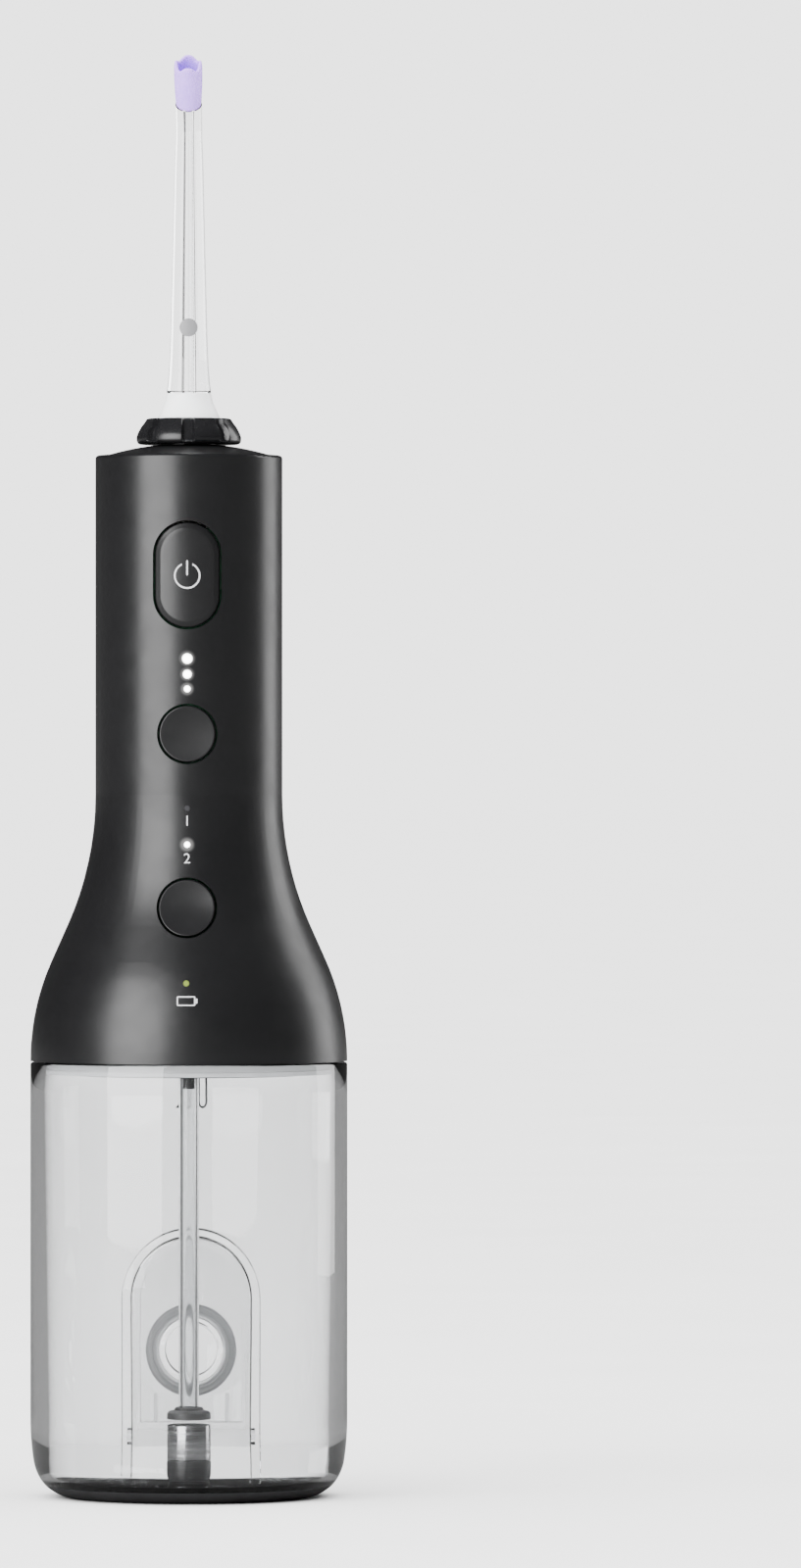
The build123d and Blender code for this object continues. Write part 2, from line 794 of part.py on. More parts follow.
def make_motor_end_cap():
    low = motor_top - motor_cap_length
    body = rod(motor_radius - 0.4, low, motor_top - 1.0, motor_x) + rod(2.8, low, motor_top, motor_x)
    for y in (-5.0, 5.0):
        body += block((motor_x - 1.0, motor_x + 1.0), (y - 0.25, y + 0.25), (motor_top - 1.0, motor_top))
    return body


# ---------------------------------------------------------------- gear train
def gear_outline(teeth, shift):
    """Closed outline of a spur gear, one arc for each flank, with a tooth centred on +X."""
    pitch = module * teeth / 2
    base = pitch * cos(radians(pressure_angle))
    tip = pitch + module * (1 + shift)
    root = pitch - module * (1.25 - shift)
    low = max(root, base) + 0.01
    pitch_half = (pi / 2 + 2 * shift * tan(radians(pressure_angle))) / teeth - backlash / (4 * pitch)

    def roll(radius):
        angle = acos(min(1.0, base / radius))
        return tan(angle) - angle

    def half_angle(radius):
        return pitch_half + roll(pitch) - roll(radius)

    def at(radius, angle):
        return (radius * cos(angle), radius * sin(angle))

    edges = []
    step = 2 * pi / teeth
    for tooth in range(teeth):
        mid = tooth * step
        flanks = []
        for side in (-1, 1):
            stops = [at(r, mid + side * half_angle(r)) for r in (low, (low + tip) / 2, tip)]
            flanks.append(stops if side < 0 else stops[::-1])
        rise, fall = flanks
        foot_in = at(root, mid - half_angle(low))
        foot_out = at(root, mid + half_angle(low))
        next_in = at(root, mid + step - half_angle(low))
        edges.append(Edge.make_line(foot_in, rise[0]))
        edges.append(Edge.make_three_point_arc(*rise))
        edges.append(Edge.make_three_point_arc(rise[2], at(tip, mid), fall[0]))
        edges.append(Edge.make_three_point_arc(*fall))
        edges.append(Edge.make_line(fall[2], foot_out))
        edges.append(Edge.make_three_point_arc(foot_out, at(root, mid + step / 2), next_in))
    return make_face(edges)


def make_motor_pinion():
    half_tooth = 180 / pinion_teeth
    teeth = extrude(Rot(0, 0, half_tooth) * gear_outline(pinion_teeth, profile_shift), gear_face - 0.2)
    body = Pos(motor_x, 0, gear_z + 0.1) * teeth
    return body - rod(motor_shaft_radius, gear_z - 1, gear_z + 9, motor_x)


def make_motor_shaft():
    return rod(motor_shaft_radius, gear_z + 0.1, deck_top + 3.5, motor_x)


def make_crank_gear():
    body = Pos(gear_x, 0, gear_z) * extrude(gear_outline(gear_teeth, -profile_shift), gear_face)
    body += rod(3.0, gear_z + gear_face, deck_z - 0.15, gear_x)
    body -= rod(axle_radius + running, gear_z + 0.6, deck_z + 1, gear_x)
    low = pump_z - yoke_thickness / 2 - 0.4
    return body + rod(crank_pin_radius, low, gear_z + 0.01, gear_x, crank_throw)


def make_crank_axle():
    return rod(axle_radius, gear_z + 0.7, deck_top, gear_x)


# ---------------------------------------------------------------- pump
def make_connecting_rod():
    half_x = 2 * crank_throw + crank_pin_radius + 0.2
    half_y = crank_throw + crank_pin_radius + 0.2
    window = RectangleRounded(2 * half_x, 2 * half_y, crank_pin_radius)
    frame = RectangleRounded(2 * (half_x + yoke_wall), 2 * (half_y + yoke_wall), crank_pin_radius)
    plate = extrude(frame - window, yoke_thickness)
    body = Pos(gear_x, 0, pump_z - yoke_thickness / 2) * plate
    return body + rod_x(rod_radius - 0.2, gear_x + half_x + 0.5, piston_x + 2.5, 0, pump_z)


def make_piston():
    body = rod_x(piston_radius, piston_x, piston_x + piston_length, 0, pump_z)
    body -= rod_x(rod_radius - 0.18, piston_x - 1, piston_x + 2.55, 0, pump_z)
    groove_x = piston_x + piston_length - 2.2
    groove = rod_x(piston_radius + 1, groove_x, groove_x + 1.2, 0, pump_z)
    return body - (groove - rod_x(piston_radius - 0.8, groove_x - 1, groove_x + 3, 0, pump_z))


def make_piston_seal():
    groove_x = piston_x + piston_length - 2.2
    body = rod_x(bore_radius - 0.015, groove_x + 0.05, groove_x + 1.15, 0, pump_z)
    return body - rod_x(piston_radius - 0.78, groove_x - 1, groove_x + 3, 0, pump_z)


def make_pump_body():
    start = piston_x - 2.0
    half = valve_block_half
    body = rod_x(bore_radius + pump_wall, start, valve_block_x + 1, 0, pump_z)
    body += block((valve_block_x, valve_x + half), (-half, half), (valve_block_bottom, valve_block_top))
    foot_y = pump_screw_y() + 2.2
    foot_top = plate_top + pump_foot_height
    foot_x = (pump_screw_x() - 2.4, pump_screw_x() + 2.4)
    body += block(foot_x, (-foot_y, foot_y), (plate_top, foot_top))
    body += rod_x(spur_radius, valve_block_x - 4.0, valve_block_x + 0.5, 0, suction_z)
    body -= rod_x(bore_radius, start - 1, valve_block_x - 0.5, 0, pump_z)
    body -= rod_x(port_radius, valve_block_x - 1, valve_x, 0, pump_z)
    body -= rod(chamber_radius, plate_top - 1, inlet_seat_top + 3.2, valve_x)
    body -= rod(port_radius, inlet_seat_top + 3, outlet_seat_z + 1, valve_x)
    body -= rod(chamber_radius, outlet_seat_z, valve_block_top + 1, valve_x)
    body -= rod_x(spur_bore, valve_block_x - 5, valve_x, 0, suction_z)
    for y in (-pump_screw_y(), pump_screw_y()):
        body -= rod(screw_radius + 0.05, plate_top - 1, plate_top + 3, pump_screw_x(), y)
    return body


def make_inlet_seat():
    body = rod(chamber_radius - gap_seat, plate_top + gap_seat, inlet_seat_top, valve_x)
    body -= rod(inlet_bore(), suction_z - spur_bore, inlet_seat_top + 1, valve_x)
    return body - rod_x(spur_bore, valve_x - 3, valve_x, 0, suction_z)


def inlet_bore():
    return ball_radius - 0.4


def ball_seat_height(bore):
    """Height of a ball's centre above the edge of the hole that it rests in."""
    return sqrt((ball_radius + gap_seat) ** 2 - bore**2)


def make_inlet_valve_ball():
    z = inlet_seat_top + ball_seat_height(inlet_bore())
    return Pos(valve_x, 0, z) * Sphere(ball_radius)


def make_outlet_valve_ball():
    z = outlet_seat_z + ball_seat_height(port_radius)
    return Pos(valve_x, 0, z) * Sphere(ball_radius)


def coil_spring(radius, wire, turns, low, high):
    """A helical spring along Z on the axis, between two heights."""
    pitch = (high - low - 2 * wire) / turns
    path = Helix(pitch, high - low - 2 * wire, radius)
    section = Plane(path @ 0, z_dir=path % 0) * Circle(wire)
    return Pos(0, 0, low + wire) * sweep(section, path, is_frenet=True)


def outlet_fitting_low():
    return valve_block_top - 1.4


def make_outlet_valve_spring():
    z = outlet_seat_z + ball_seat_height(port_radius) + ball_radius * 0.62
    return Pos(valve_x, 0, 0) * coil_spring(1.3, 0.15, 3, z, outlet_fitting_low() - 0.02)


def make_outlet_fitting():
    top = deck_top + 3.0
    body = rod(chamber_radius - gap_seat, outlet_fitting_low(), valve_block_top, valve_x)
    body += rod(3.2, valve_block_top, valve_block_top + 0.8, valve_x)
    body += rod(tube_bore - 0.02, valve_block_top, top, valve_x)
    return body - rod(0.6, outlet_fitting_low() - 1, top + 1, valve_x)


def make_suction_tube():
    path = Edge.make_line((fitting_radius + 0.2, 0, suction_z), (valve_block_x - 0.1, 0, suction_z))
    section = Circle(tube_radius) - Circle(spur_radius + gap_seat)
    return sweep(Plane(path @ 0, z_dir=path % 0) * section, path)


def make_outlet_tube():
    start = valve_block_top + 0.85
    knee = deck_top + 5.5
    settle = shelf_z + 2.0
    top = socket_boss_low() - 0.05
    points = [(valve_x, 0, start), (valve_x, 0, knee), (riser_x, 0, settle), (riser_x, 0, top)]
    runs = [(Vector(*b) - Vector(*a)) for a, b in zip(points, points[1:])]
    radii = []
    for before, after in zip(runs, runs[1:]):
        turn = radians(before.get_angle(after))
        radii.append(0.45 * min(before.length, after.length) / tan(turn / 2))
    path = FilletPolyline(*points, radius=radii)
    section = Circle(tube_radius) - Circle(tube_bore)
    return sweep(Plane(path @ 0, z_dir=path % 0) * section, path)


# ---------------------------------------------------------------- nozzle socket and release
def socket_boss_low():
    return stem_bottom - 5.2


def socket_flange_bottom():
    return neck_top - 4.0


def make_nozzle_socket():
    low = socket_boss_low()
    flange_low = socket_flange_bottom()
    body = rod(socket_radius, low, neck_top - 2.4)
    body += rod(socket_flange_radius, flange_low, neck_top - 2.4)
    body += block((0, riser_x), (-2.2, 2.2), (low, low + 4.6)) + rod(2.3, low, low + 4.6, riser_x)
    body += rod(tube_bore - 0.02, low - 4.0, low + 0.5, riser_x)
    body -= rod(0.6, low - 5, low + 2.4, riser_x) + rod_x(0.8, 0, riser_x, 0, low + 2.4)
    body -= rod(1.4, low + 1.6, stem_bottom)
    body -= rod(stem_shaft_radius + running, stem_bottom - 0.3, stem_groove_top + 0.3)
    body -= rod(dial_sleeve_radius + turning, stem_groove_top + 0.3, neck_top)
    seat_z = stem_bottom + o_ring_rise
    body -= rod(stem_shaft_radius + o_ring_depth, seat_z - 0.8, seat_z + 0.8)
    clip_z = (stem_groove_bottom + stem_groove_top) / 2
    gap = clip_wire + 0.15
    for side in (-1, 1):
        x = sorted((side * (stem_groove_radius - 0.1), side * (stem_shaft_radius + 2 * clip_wire + 0.5)))
        body -= block(x, (-socket_radius - 1, socket_radius + 1), (clip_z - gap, clip_z + gap))
    for x, y in cap_screw_places():
        body -= rod(screw_radius + 0.05, flange_low - 1, neck_top, x, y)
    return body


def make_socket_o_ring():
    z = stem_bottom + o_ring_rise
    body = ring(stem_shaft_radius + o_ring_depth - 0.05, stem_shaft_radius + 0.02, z - 0.7, z + 0.7)
    inner_edges = body.edges().filter_by(GeomType.CIRCLE).sort_by(SortBy.RADIUS)[:2]
    return fillet(inner_edges, 0.3)


def make_retaining_clip():
    z = (stem_groove_bottom + stem_groove_top) / 2
    x = stem_groove_radius + clip_wire + 0.05
    y = -socket_radius + 1.0
    left = Edge.make_line((-x, clip_leg_end, z), (-x, y, z))
    bend = Edge.make_three_point_arc((-x, y, z), (0, y - x, z), (x, y, z))
    right = Edge.make_line((x, y, z), (x, clip_leg_end, z))
    path = Wire([left, bend, right])
    return sweep(Plane(path @ 0, z_dir=path % 0) * Circle(clip_wire), path)


def make_release_button():
    body = button(release_width, release_height, release_z, 1)
    z = (stem_groove_bottom + stem_groove_top) / 2
    inner = neck_inner - slip - flange_thickness
    tip = clip_leg_end + 0.3
    narrow = stem_groove_radius - 0.1
    wide = narrow + 1.8
    outline = Polyline(
        (-wide, inner + 0.4),
        (wide, inner + 0.4),
        (wide, tip + 1.8),
        (narrow, tip),
        (-narrow, tip),
        (-wide, tip + 1.8),
        close=True,
    )
    wedge = Pos(0, 0, z - clip_wire) * extrude(make_face(outline.edges()), 2 * clip_wire)
    post = rod_y(0.9, inner - 1.6, inner + 0.4, 0, release_spring_z())
    return body + (wedge & rod(neck_inner - 0.4, 0, dial_top)) + post


def release_spring_z():
    return release_z - 2.0


def make_release_spring():
    inner = neck_inner - slip - flange_thickness
    start = socket_radius + 0.05
    spring = coil_spring(1.5, 0.2, 5, 0, inner - start - 0.1)
    return Pos(0, start, release_spring_z()) * Rot(-90, 0, 0) * spring


# ---------------------------------------------------------------- dial and nozzle
def dial_side(inset):
    """The dial's side from its foot to its top, moved inwards by inset."""
    foot = (dial_radius - 0.9 - inset, dial_bottom)
    wide = (dial_radius - inset, dial_bottom + 0.9)
    shoulder = (dial_radius - 2.4 - inset, dial_top - 0.5)
    top = (dial_radius - 3.3 - inset, dial_top)
    bulge = ((wide[0] + shoulder[0]) / 2 + 0.3, (wide[1] + shoulder[1]) / 2)
    return [
        ThreePointArc(foot, (wide[0] - 0.22, dial_bottom + 0.3), wide),
        ThreePointArc(wide, bulge, shoulder),
        ThreePointArc(shoulder, (shoulder[0] - 0.35, dial_top - 0.12), top),
        Edge.make_line(top, (0, dial_top)),
        Edge.make_line((0, dial_top), (0, dial_bottom)),
        Edge.make_line((0, dial_bottom), foot),
    ]


def make_nozzle_dial():
    lobes = turned(dial_side(0))
    core = turned(dial_side(groove_depth))
    for number in range(dial_grooves):
        spoke = block((3, dial_radius + 2), (-groove_width / 2, groove_width / 2), (dial_bottom + 0.7, dial_top + 1))
        lobes -= Rot(0, 0, number * 360 / dial_grooves - 90) * spoke
    body = lobes + core
    body += rod(dial_hub_radius, neck_top - 2.3, dial_bottom + 0.5)
    body += rod(dial_sleeve_radius, stem_groove_top + 0.5, neck_top - 2)
    body -= rod(cone_base_radius + 0.05, cone_bottom - 0.02, dial_top + 1)
    body -= rod(stem_collar_radius + 0.03, cone_bottom - stem_collar_length - 0.05, dial_top + 1)
    body -= rod(stem_shaft_radius + 0.06, stem_groove_top, dial_top)
    return body


def make_nozzle_base():
    collar_low = cone_bottom - stem_collar_length
    cone = turned(
        [
            Edge.make_line((0, cone_bottom), (cone_base_radius, cone_bottom)),
            ThreePointArc(
                (cone_base_radius, cone_bottom),
                (cone_waist_radius, cone_bottom + cone_height * 0.46),
                (cone_top_radius, cone_top),
            ),
            Edge.make_line((cone_top_radius, cone_top), (0, cone_top)),
            Edge.make_line((0, cone_top), (0, cone_bottom)),
        ]
    )
    stem = turned_outline(
        (0, stem_bottom),
        (stem_shaft_radius - 1.1, stem_bottom),
        (stem_shaft_radius - 0.8, stem_bottom + 0.5),
        (stem_shaft_radius, stem_bottom + 1.5),
        (stem_shaft_radius, stem_groove_bottom),
        (stem_groove_radius, stem_groove_bottom),
        (stem_groove_radius, stem_groove_top),
        (stem_shaft_radius, stem_groove_top),
        (stem_shaft_radius, collar_low),
        (stem_collar_radius - 0.6, collar_low),
        (stem_collar_radius, collar_low + 0.6),
        (stem_collar_radius, cone_bottom),
        (0, cone_bottom),
    )
    notch = block((-1.2, 1.2), (-stem_shaft_radius - 1, -stem_groove_radius), (stem_groove_top, stem_groove_top + 2.1))
    body = cone + stem - notch - rod(1.2, stem_bottom - 1, cone_top)
    return body - rod(nozzle_spigot_radius() + gap_seat, cone_top - spigot_length - 0.2, cone_top + 1)


def nozzle_spigot_radius():
    return cone_top_radius - spigot_wall


def nozzle_axis():
    """The nozzle's centre line: upright, then an arc that leans forwards, then the tip's straight run."""
    turn = radians(nozzle_bend_angle)
    start = Vector(0, 0, nozzle_bend_z)
    reach = nozzle_bend_radius * (1 - cos(turn))
    rise = nozzle_bend_radius * sin(turn)
    half = turn / 2
    middle = Vector(
        0,
        -nozzle_bend_radius * (1 - cos(half)),
        nozzle_bend_z + nozzle_bend_radius * sin(half),
    )
    end = Vector(0, -reach, nozzle_bend_z + rise)
    direction = Vector(0, -sin(turn), cos(turn))
    return Edge.make_three_point_arc(start, middle, end), end, direction


def make_nozzle_tube():
    foot = cone_top + 0.02
    side = [
        Edge.make_line((0, foot), (nozzle_foot_radius, foot)),
        ThreePointArc(
            (nozzle_foot_radius, foot),
            (nozzle_mid_radius + 0.28, foot + (nozzle_mid_z - foot) * 0.42),
            (nozzle_mid_radius, nozzle_mid_z),
        ),
        Edge.make_line((nozzle_mid_radius, nozzle_mid_z), (nozzle_neck_radius, nozzle_bend_z)),
        Edge.make_line((nozzle_neck_radius, nozzle_bend_z), (0, nozzle_bend_z)),
        Edge.make_line((0, nozzle_bend_z), (0, foot)),
    ]
    arc, end, direction = nozzle_axis()
    body = turned(side) + rod(nozzle_spigot_radius(), foot - spigot_length, foot + 0.1)
    body += sweep(Plane(arc @ 0, z_dir=arc % 0) * Circle(nozzle_neck_radius), arc)
    plane = Plane(end, z_dir=direction, x_dir=(1, 0, 0))
    body += plane * Pos(0, 0, tip_overlap / 2) * Cylinder(nozzle_neck_radius - tip_wall, tip_overlap)
    bore = rod(nozzle_bore, foot - 9, nozzle_bend_z)
    bore += sweep(Plane(arc @ 0, z_dir=arc % 0) * Circle(nozzle_bore), arc)
    return body - bore - plane * Pos(0, 0, 4) * Cylinder(nozzle_bore, 8.02)


def make_nozzle_tip():
    _, end, direction = nozzle_axis()
    plane = Plane(end + direction * 0.02, z_dir=direction, x_dir=(1, 0, 0))
    shell = turned(
        [
            Edge.make_line((0, 0), (tip_foot_radius, 0)),
            ThreePointArc((tip_foot_radius, 0), (tip_radius - 0.08, tip_length * 0.5), (tip_radius, tip_length * 0.72)),
            ThreePointArc((tip_radius, tip_length * 0.72), (tip_radius + 0.02, tip_length * 0.85), (tip_radius - 0.12, tip_length)),
            Edge.make_line((tip_radius - 0.12, tip_length), (0, tip_length)),
            Edge.make_line((0, tip_length), (0, 0)),
        ]
    )
    bowl_low = tip_length - tip_bowl_depth
    shell -= Pos(0, 0, (bowl_low + tip_length + 1) / 2) * Cylinder(tip_radius - tip_wall, tip_length + 1 - bowl_low)
    shell -= Pos(0, 0, tip_overlap / 2 - 1) * Cylinder(nozzle_neck_radius - tip_wall + gap_seat, tip_overlap + 2.04)
    shell -= Cylinder(jet_radius, 4 * tip_length)
    for turn in (45, 135):
        shell -= Pos(0, 0, tip_length + 0.45) * Rot(0, 0, turn) * Rot(90, 0, 0) * Cylinder(petal_depth + 0.45, 20)
    return plane * shell


# ---------------------------------------------------------------- charging inlet
def make_charge_inlet():
    reach = (wall_radius(inlet_z) - 9.0, tank_radius + 5)
    body = slot_prism(inlet_width, inlet_height, reach, inlet_z) & handle_body(cover_thickness + cover_gap)
    wide = slot_prism(inlet_width + 2, inlet_height + 2, reach, inlet_z) & handle_body(wall + slip)
    body += wide - handle_body(wall + slip + 1.2)
    face = wall_radius(inlet_z) - cover_thickness
    mouth = slot_prism(inlet_mouth_width, inlet_mouth_height, (face - inlet_mouth_depth, tank_radius + 5), inlet_z)
    body -= mouth
    for x in (-pin_x, pin_x):
        body -= rod_y(pin_radius + gap_seat, reach[0] - 1, tank_radius, x, inlet_z)
    return body


def make_charge_pins():
    face = wall_radius(inlet_z) - cover_thickness
    low = wall_radius(inlet_z) - 10.5
    return Compound(children=[rod_y(pin_radius, low, face - 1.6, x, inlet_z) for x in (-pin_x, pin_x)])


def make_charge_cover():
    reach = (0, tank_radius + 5)
    body = slot_prism(inlet_width + 0.3, inlet_height + 0.3, reach, inlet_z) & handle_body(0.05)
    body -= handle_body(cover_thickness)
    face = wall_radius(inlet_z) - cover_thickness
    plug_height = inlet_mouth_height - 1.5
    plug = slot_prism(inlet_mouth_width - 1.2, plug_height, (face - 0.9, face + 0.6), inlet_z - 0.35)
    return body + (plug & handle_body(0.3))


parts = {
    "base_pad": make_base_pad,
    "reservoir": make_reservoir,
    "fill_door": make_fill_door,
    "fill_door_seal": make_fill_door_seal,
    "reservoir_seal": make_reservoir_seal,
    "intake_hose": make_intake_hose,
    "hose_collar": make_hose_collar,
    "hose_weight": make_hose_weight,
    "hose_filter": make_hose_filter,
    "intake_fitting": make_intake_fitting,
    "base_plate": make_base_plate,
    "housing_shell": make_housing_shell,
    "top_cap": make_top_cap,
    "power_button": make_power_button,
    "intensity_button": lambda: dished_button(intensity_z),
    "mode_button": lambda: dished_button(mode_z),
    "power_switch_plunger": lambda: make_switch_plunger(power_z),
    "intensity_switch_plunger": lambda: make_switch_plunger(intensity_z),
    "mode_switch_plunger": lambda: make_switch_plunger(mode_z),
    "tact_switches": make_tact_switches,
    "control_board": make_control_board,
    "indicator_leds": make_indicator_leds,
    "intensity_light_guide": lambda: make_light_guide(intensity_lights),
    "mode_light_guide": lambda: make_light_guide(mode_lights),
    "battery_light_guide": lambda: make_light_guide([battery_light]),
    "inner_carrier": make_inner_carrier,
    "case_screws": make_case_screws,
    "battery_cell": make_battery_cell,
    "battery_tabs": make_battery_tabs,
    "motor_can": make_motor_can,
    "motor_end_cap": make_motor_end_cap,
    "motor_shaft": make_motor_shaft,
    "motor_pinion": make_motor_pinion,
    "crank_gear": make_crank_gear,
    "crank_axle": make_crank_axle,
    "connecting_rod": make_connecting_rod,
    "piston": make_piston,
    "piston_seal": make_piston_seal,
    "pump_body": make_pump_body,
    "inlet_seat": make_inlet_seat,
    "inlet_valve_ball": make_inlet_valve_ball,
    "outlet_valve_ball": make_outlet_valve_ball,
    "outlet_valve_spring": make_outlet_valve_spring,
    "outlet_fitting": make_outlet_fitting,
    "suction_tube": make_suction_tube,
    "outlet_tube": make_outlet_tube,
    "nozzle_socket": make_nozzle_socket,
    "socket_o_ring": make_socket_o_ring,
    "retaining_clip": make_retaining_clip,
    "release_button": make_release_button,
    "release_spring": make_release_spring,
    "nozzle_dial": make_nozzle_dial,
    "nozzle_base": make_nozzle_base,
    "nozzle_tube": make_nozzle_tube,
    "nozzle_tip": make_nozzle_tip,
    "charge_inlet": make_charge_inlet,
    "charge_pins": make_charge_pins,
    "charge_cover": make_charge_cover,
}

os.makedirs("parts", exist_ok=True)
for name, make in parts.items():
    export_step(make(), f"parts/{name}.step")
    print(name)
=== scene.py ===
import bpy
import json
from math import atan2, cos, hypot, pi, radians, sin, sqrt, tau
from mathutils import Matrix, Vector

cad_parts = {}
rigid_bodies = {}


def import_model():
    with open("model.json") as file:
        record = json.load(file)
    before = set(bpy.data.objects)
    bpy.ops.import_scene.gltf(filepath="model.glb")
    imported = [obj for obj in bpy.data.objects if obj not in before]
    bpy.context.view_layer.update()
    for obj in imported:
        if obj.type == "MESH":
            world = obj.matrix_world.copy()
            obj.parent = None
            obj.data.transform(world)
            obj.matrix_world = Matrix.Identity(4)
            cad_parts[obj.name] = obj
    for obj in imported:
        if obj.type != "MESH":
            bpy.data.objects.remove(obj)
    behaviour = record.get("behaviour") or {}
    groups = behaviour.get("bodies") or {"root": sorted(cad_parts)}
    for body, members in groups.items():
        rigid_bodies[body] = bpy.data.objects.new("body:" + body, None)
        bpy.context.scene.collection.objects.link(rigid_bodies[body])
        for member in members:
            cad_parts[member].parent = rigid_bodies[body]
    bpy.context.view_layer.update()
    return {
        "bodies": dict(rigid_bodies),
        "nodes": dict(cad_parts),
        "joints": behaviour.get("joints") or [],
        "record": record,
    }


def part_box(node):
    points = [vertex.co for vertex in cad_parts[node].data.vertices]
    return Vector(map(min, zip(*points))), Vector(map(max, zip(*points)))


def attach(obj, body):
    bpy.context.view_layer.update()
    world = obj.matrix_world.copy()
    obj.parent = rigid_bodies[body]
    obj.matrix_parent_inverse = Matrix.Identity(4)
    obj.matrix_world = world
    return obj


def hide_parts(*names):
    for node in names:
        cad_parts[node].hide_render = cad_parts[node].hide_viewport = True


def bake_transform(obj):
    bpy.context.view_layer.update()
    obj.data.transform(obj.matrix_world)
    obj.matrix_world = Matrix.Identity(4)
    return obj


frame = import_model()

mm = 0.001
nodes = frame["nodes"]
print("frame loaded:", len(nodes), "nodes")

dialLow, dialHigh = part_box("nozzle_dial")
baseLow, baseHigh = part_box("nozzle_base")


# camera, seen from straight in front with a long lens
cameraValues = {
    "distance": 2.472,
    "right": 0.0464,  # the flosser stands left of the middle of the view
    "height": 0.1562,
    "lens": 258.7,
}


def addCamera():
    bpy.ops.object.camera_add(
        location=(cameraValues["right"], -cameraValues["distance"], cameraValues["height"]),
        rotation=(radians(90), 0, 0),
    )
    camera = bpy.context.active_object
    camera.name = "photoCamera"
    camera.data.lens = cameraValues["lens"]
    camera.data.clip_end = 200
    bpy.context.scene.camera = camera


addCamera()
print("camera placed")


# modelling helpers
def selectOnly(piece):
    bpy.ops.object.select_all(action="DESELECT")
    piece.select_set(True)
    bpy.context.view_layer.objects.active = piece


def turnPiece(name, outline, steps=160, closed=False):
    # outline is radius and height in mm, drawn point by point and spun about the upright axis
    bpy.ops.object.select_all(action="DESELECT")
    bpy.ops.mesh.primitive_plane_add(size=mm, location=(0, 0, 0))
    piece = bpy.context.active_object
    piece.name = piece.data.name = name
    bpy.ops.object.mode_set(mode="EDIT")
    bpy.ops.mesh.select_mode(type="VERT")
    bpy.ops.mesh.merge(type="CENTER")
    here = Vector((outline[0][0] * mm, 0, outline[0][1] * mm))
    bpy.ops.transform.translate(value=here)
    for radius, height in outline[1:] + (outline[:1] if closed else []):
        there = Vector((radius * mm, 0, height * mm))
        bpy.ops.mesh.extrude_vertices_move(TRANSFORM_OT_translate={"value": there - here})
        here = there
    bpy.ops.mesh.select_all(action="SELECT")
    bpy.ops.mesh.spin(steps=steps, angle=tau, center=(0, 0, 0), axis=(0, 0, 1))
    bpy.ops.mesh.select_all(action="SELECT")
    bpy.ops.mesh.remove_doubles(threshold=1e-6)
    bpy.ops.mesh.normals_make_consistent(inside=False)
    bpy.ops.object.mode_set(mode="OBJECT")
    return piece


def arcPoints(centre, radius, start, end, steps):
    # radius and height pairs along an arc, angles in degrees
    turns = [radians(start + (end - start) * i / steps) for i in range(steps + 1)]
    return [(centre[0] + radius * cos(a), centre[1] + radius * sin(a)) for a in turns]


def bevelEdges(piece, width, segments=2, angle=35):
    step = piece.modifiers.new("edges", "BEVEL")
    step.width = width * mm
    step.segments = segments
    step.limit_method = "ANGLE"
    step.angle_limit = radians(angle)
    selectOnly(piece)
    bpy.ops.object.modifier_apply(modifier=step.name)


def cutPiece(piece, cutters, operation="DIFFERENCE"):
    for cutter in cutters:
        step = piece.modifiers.new("cut", "BOOLEAN")
        step.operation = operation
        step.solver = "EXACT"
        step.object = cutter
        selectOnly(piece)
        bpy.ops.object.modifier_apply(modifier=step.name)
        bpy.data.objects.remove(cutter, do_unlink=True)


shellValues = {
    "tank": 34.75, "neck": 20.5, "skirt": 95.5, "top": 228.2, "flare": 24.0, "shoulder": 54.0, "waist": 70.0,
}


def shellSide():
    # radius and height down the handle's wall: shoulder arc, straight flare, waist arc, straight neck
    v = shellValues
    turn = radians(v["flare"])
    straight = (v["tank"] - v["neck"] - (v["shoulder"] + v["waist"]) * (1 - cos(turn))) / sin(turn)
    side = []
    for i in range(25):
        a = turn * i / 24
        side.append((v["tank"] - v["shoulder"] * (1 - cos(a)), v["skirt"] + v["shoulder"] * sin(a)))
    endR, endZ = side[-1][0] - straight * sin(turn), side[-1][1] + straight * cos(turn)
    centreR, centreZ = endR + v["waist"] * cos(turn), endZ + v["waist"] * sin(turn)
    for i in range(29):
        a = turn * (1 - i / 28)
        side.append((centreR - v["waist"] * cos(a), centreZ - v["waist"] * sin(a)))
    return side + [(v["neck"], v["top"])]


shellLine = shellSide()


def wallRadius(height):
    for (r0, z0), (r1, z1) in zip(shellLine, shellLine[1:]):
        if z0 <= height <= z1:
            return r0 + (r1 - r0) * (height - z0) / max(z1 - z0, 1e-9)
    return shellLine[-1][0] if height > shellLine[-1][1] else shellLine[0][0]


def wallDepth(x, height):
    return sqrt(max(0, wallRadius(height) ** 2 - x * x))


def laySurface(piece, centre, depth, stretch=0.0):
    # turns a piece made about the upright axis to face the front and lays it on a surface
    for vertex in piece.data.vertices:
        x, up, rise = vertex.co / mm
        up += stretch if up > 0 else -stretch
        vertex.co = Vector((x, -(depth(x, centre + up) + rise), centre + up)) * mm


def roundedPrism(name, width, height, corner, centre, near, far, steps=48):
    # prism along Y between two depths, its outline a rounded rectangle centred on a height
    bpy.ops.object.select_all(action="DESELECT")
    bpy.ops.mesh.primitive_cylinder_add(vertices=steps, radius=corner * mm, depth=(far - near) * mm)
    prism = bpy.context.active_object
    prism.name = prism.data.name = name
    half = Matrix.Rotation(pi / steps, 3, "Z")
    for vertex in prism.data.vertices:
        place = half @ vertex.co
        x = place.x + (width / 2 - corner) * mm * (1 if place.x > 0 else -1)
        z = place.y + (height / 2 - corner) * mm * (1 if place.y > 0 else -1)
        vertex.co = Vector((x, (near + far) / 2 * mm - place.z, z + centre * mm))
    return prism


def smoothPiece(piece, angle=32):
    selectOnly(piece)
    bpy.ops.object.shade_smooth_by_angle(angle=radians(angle))


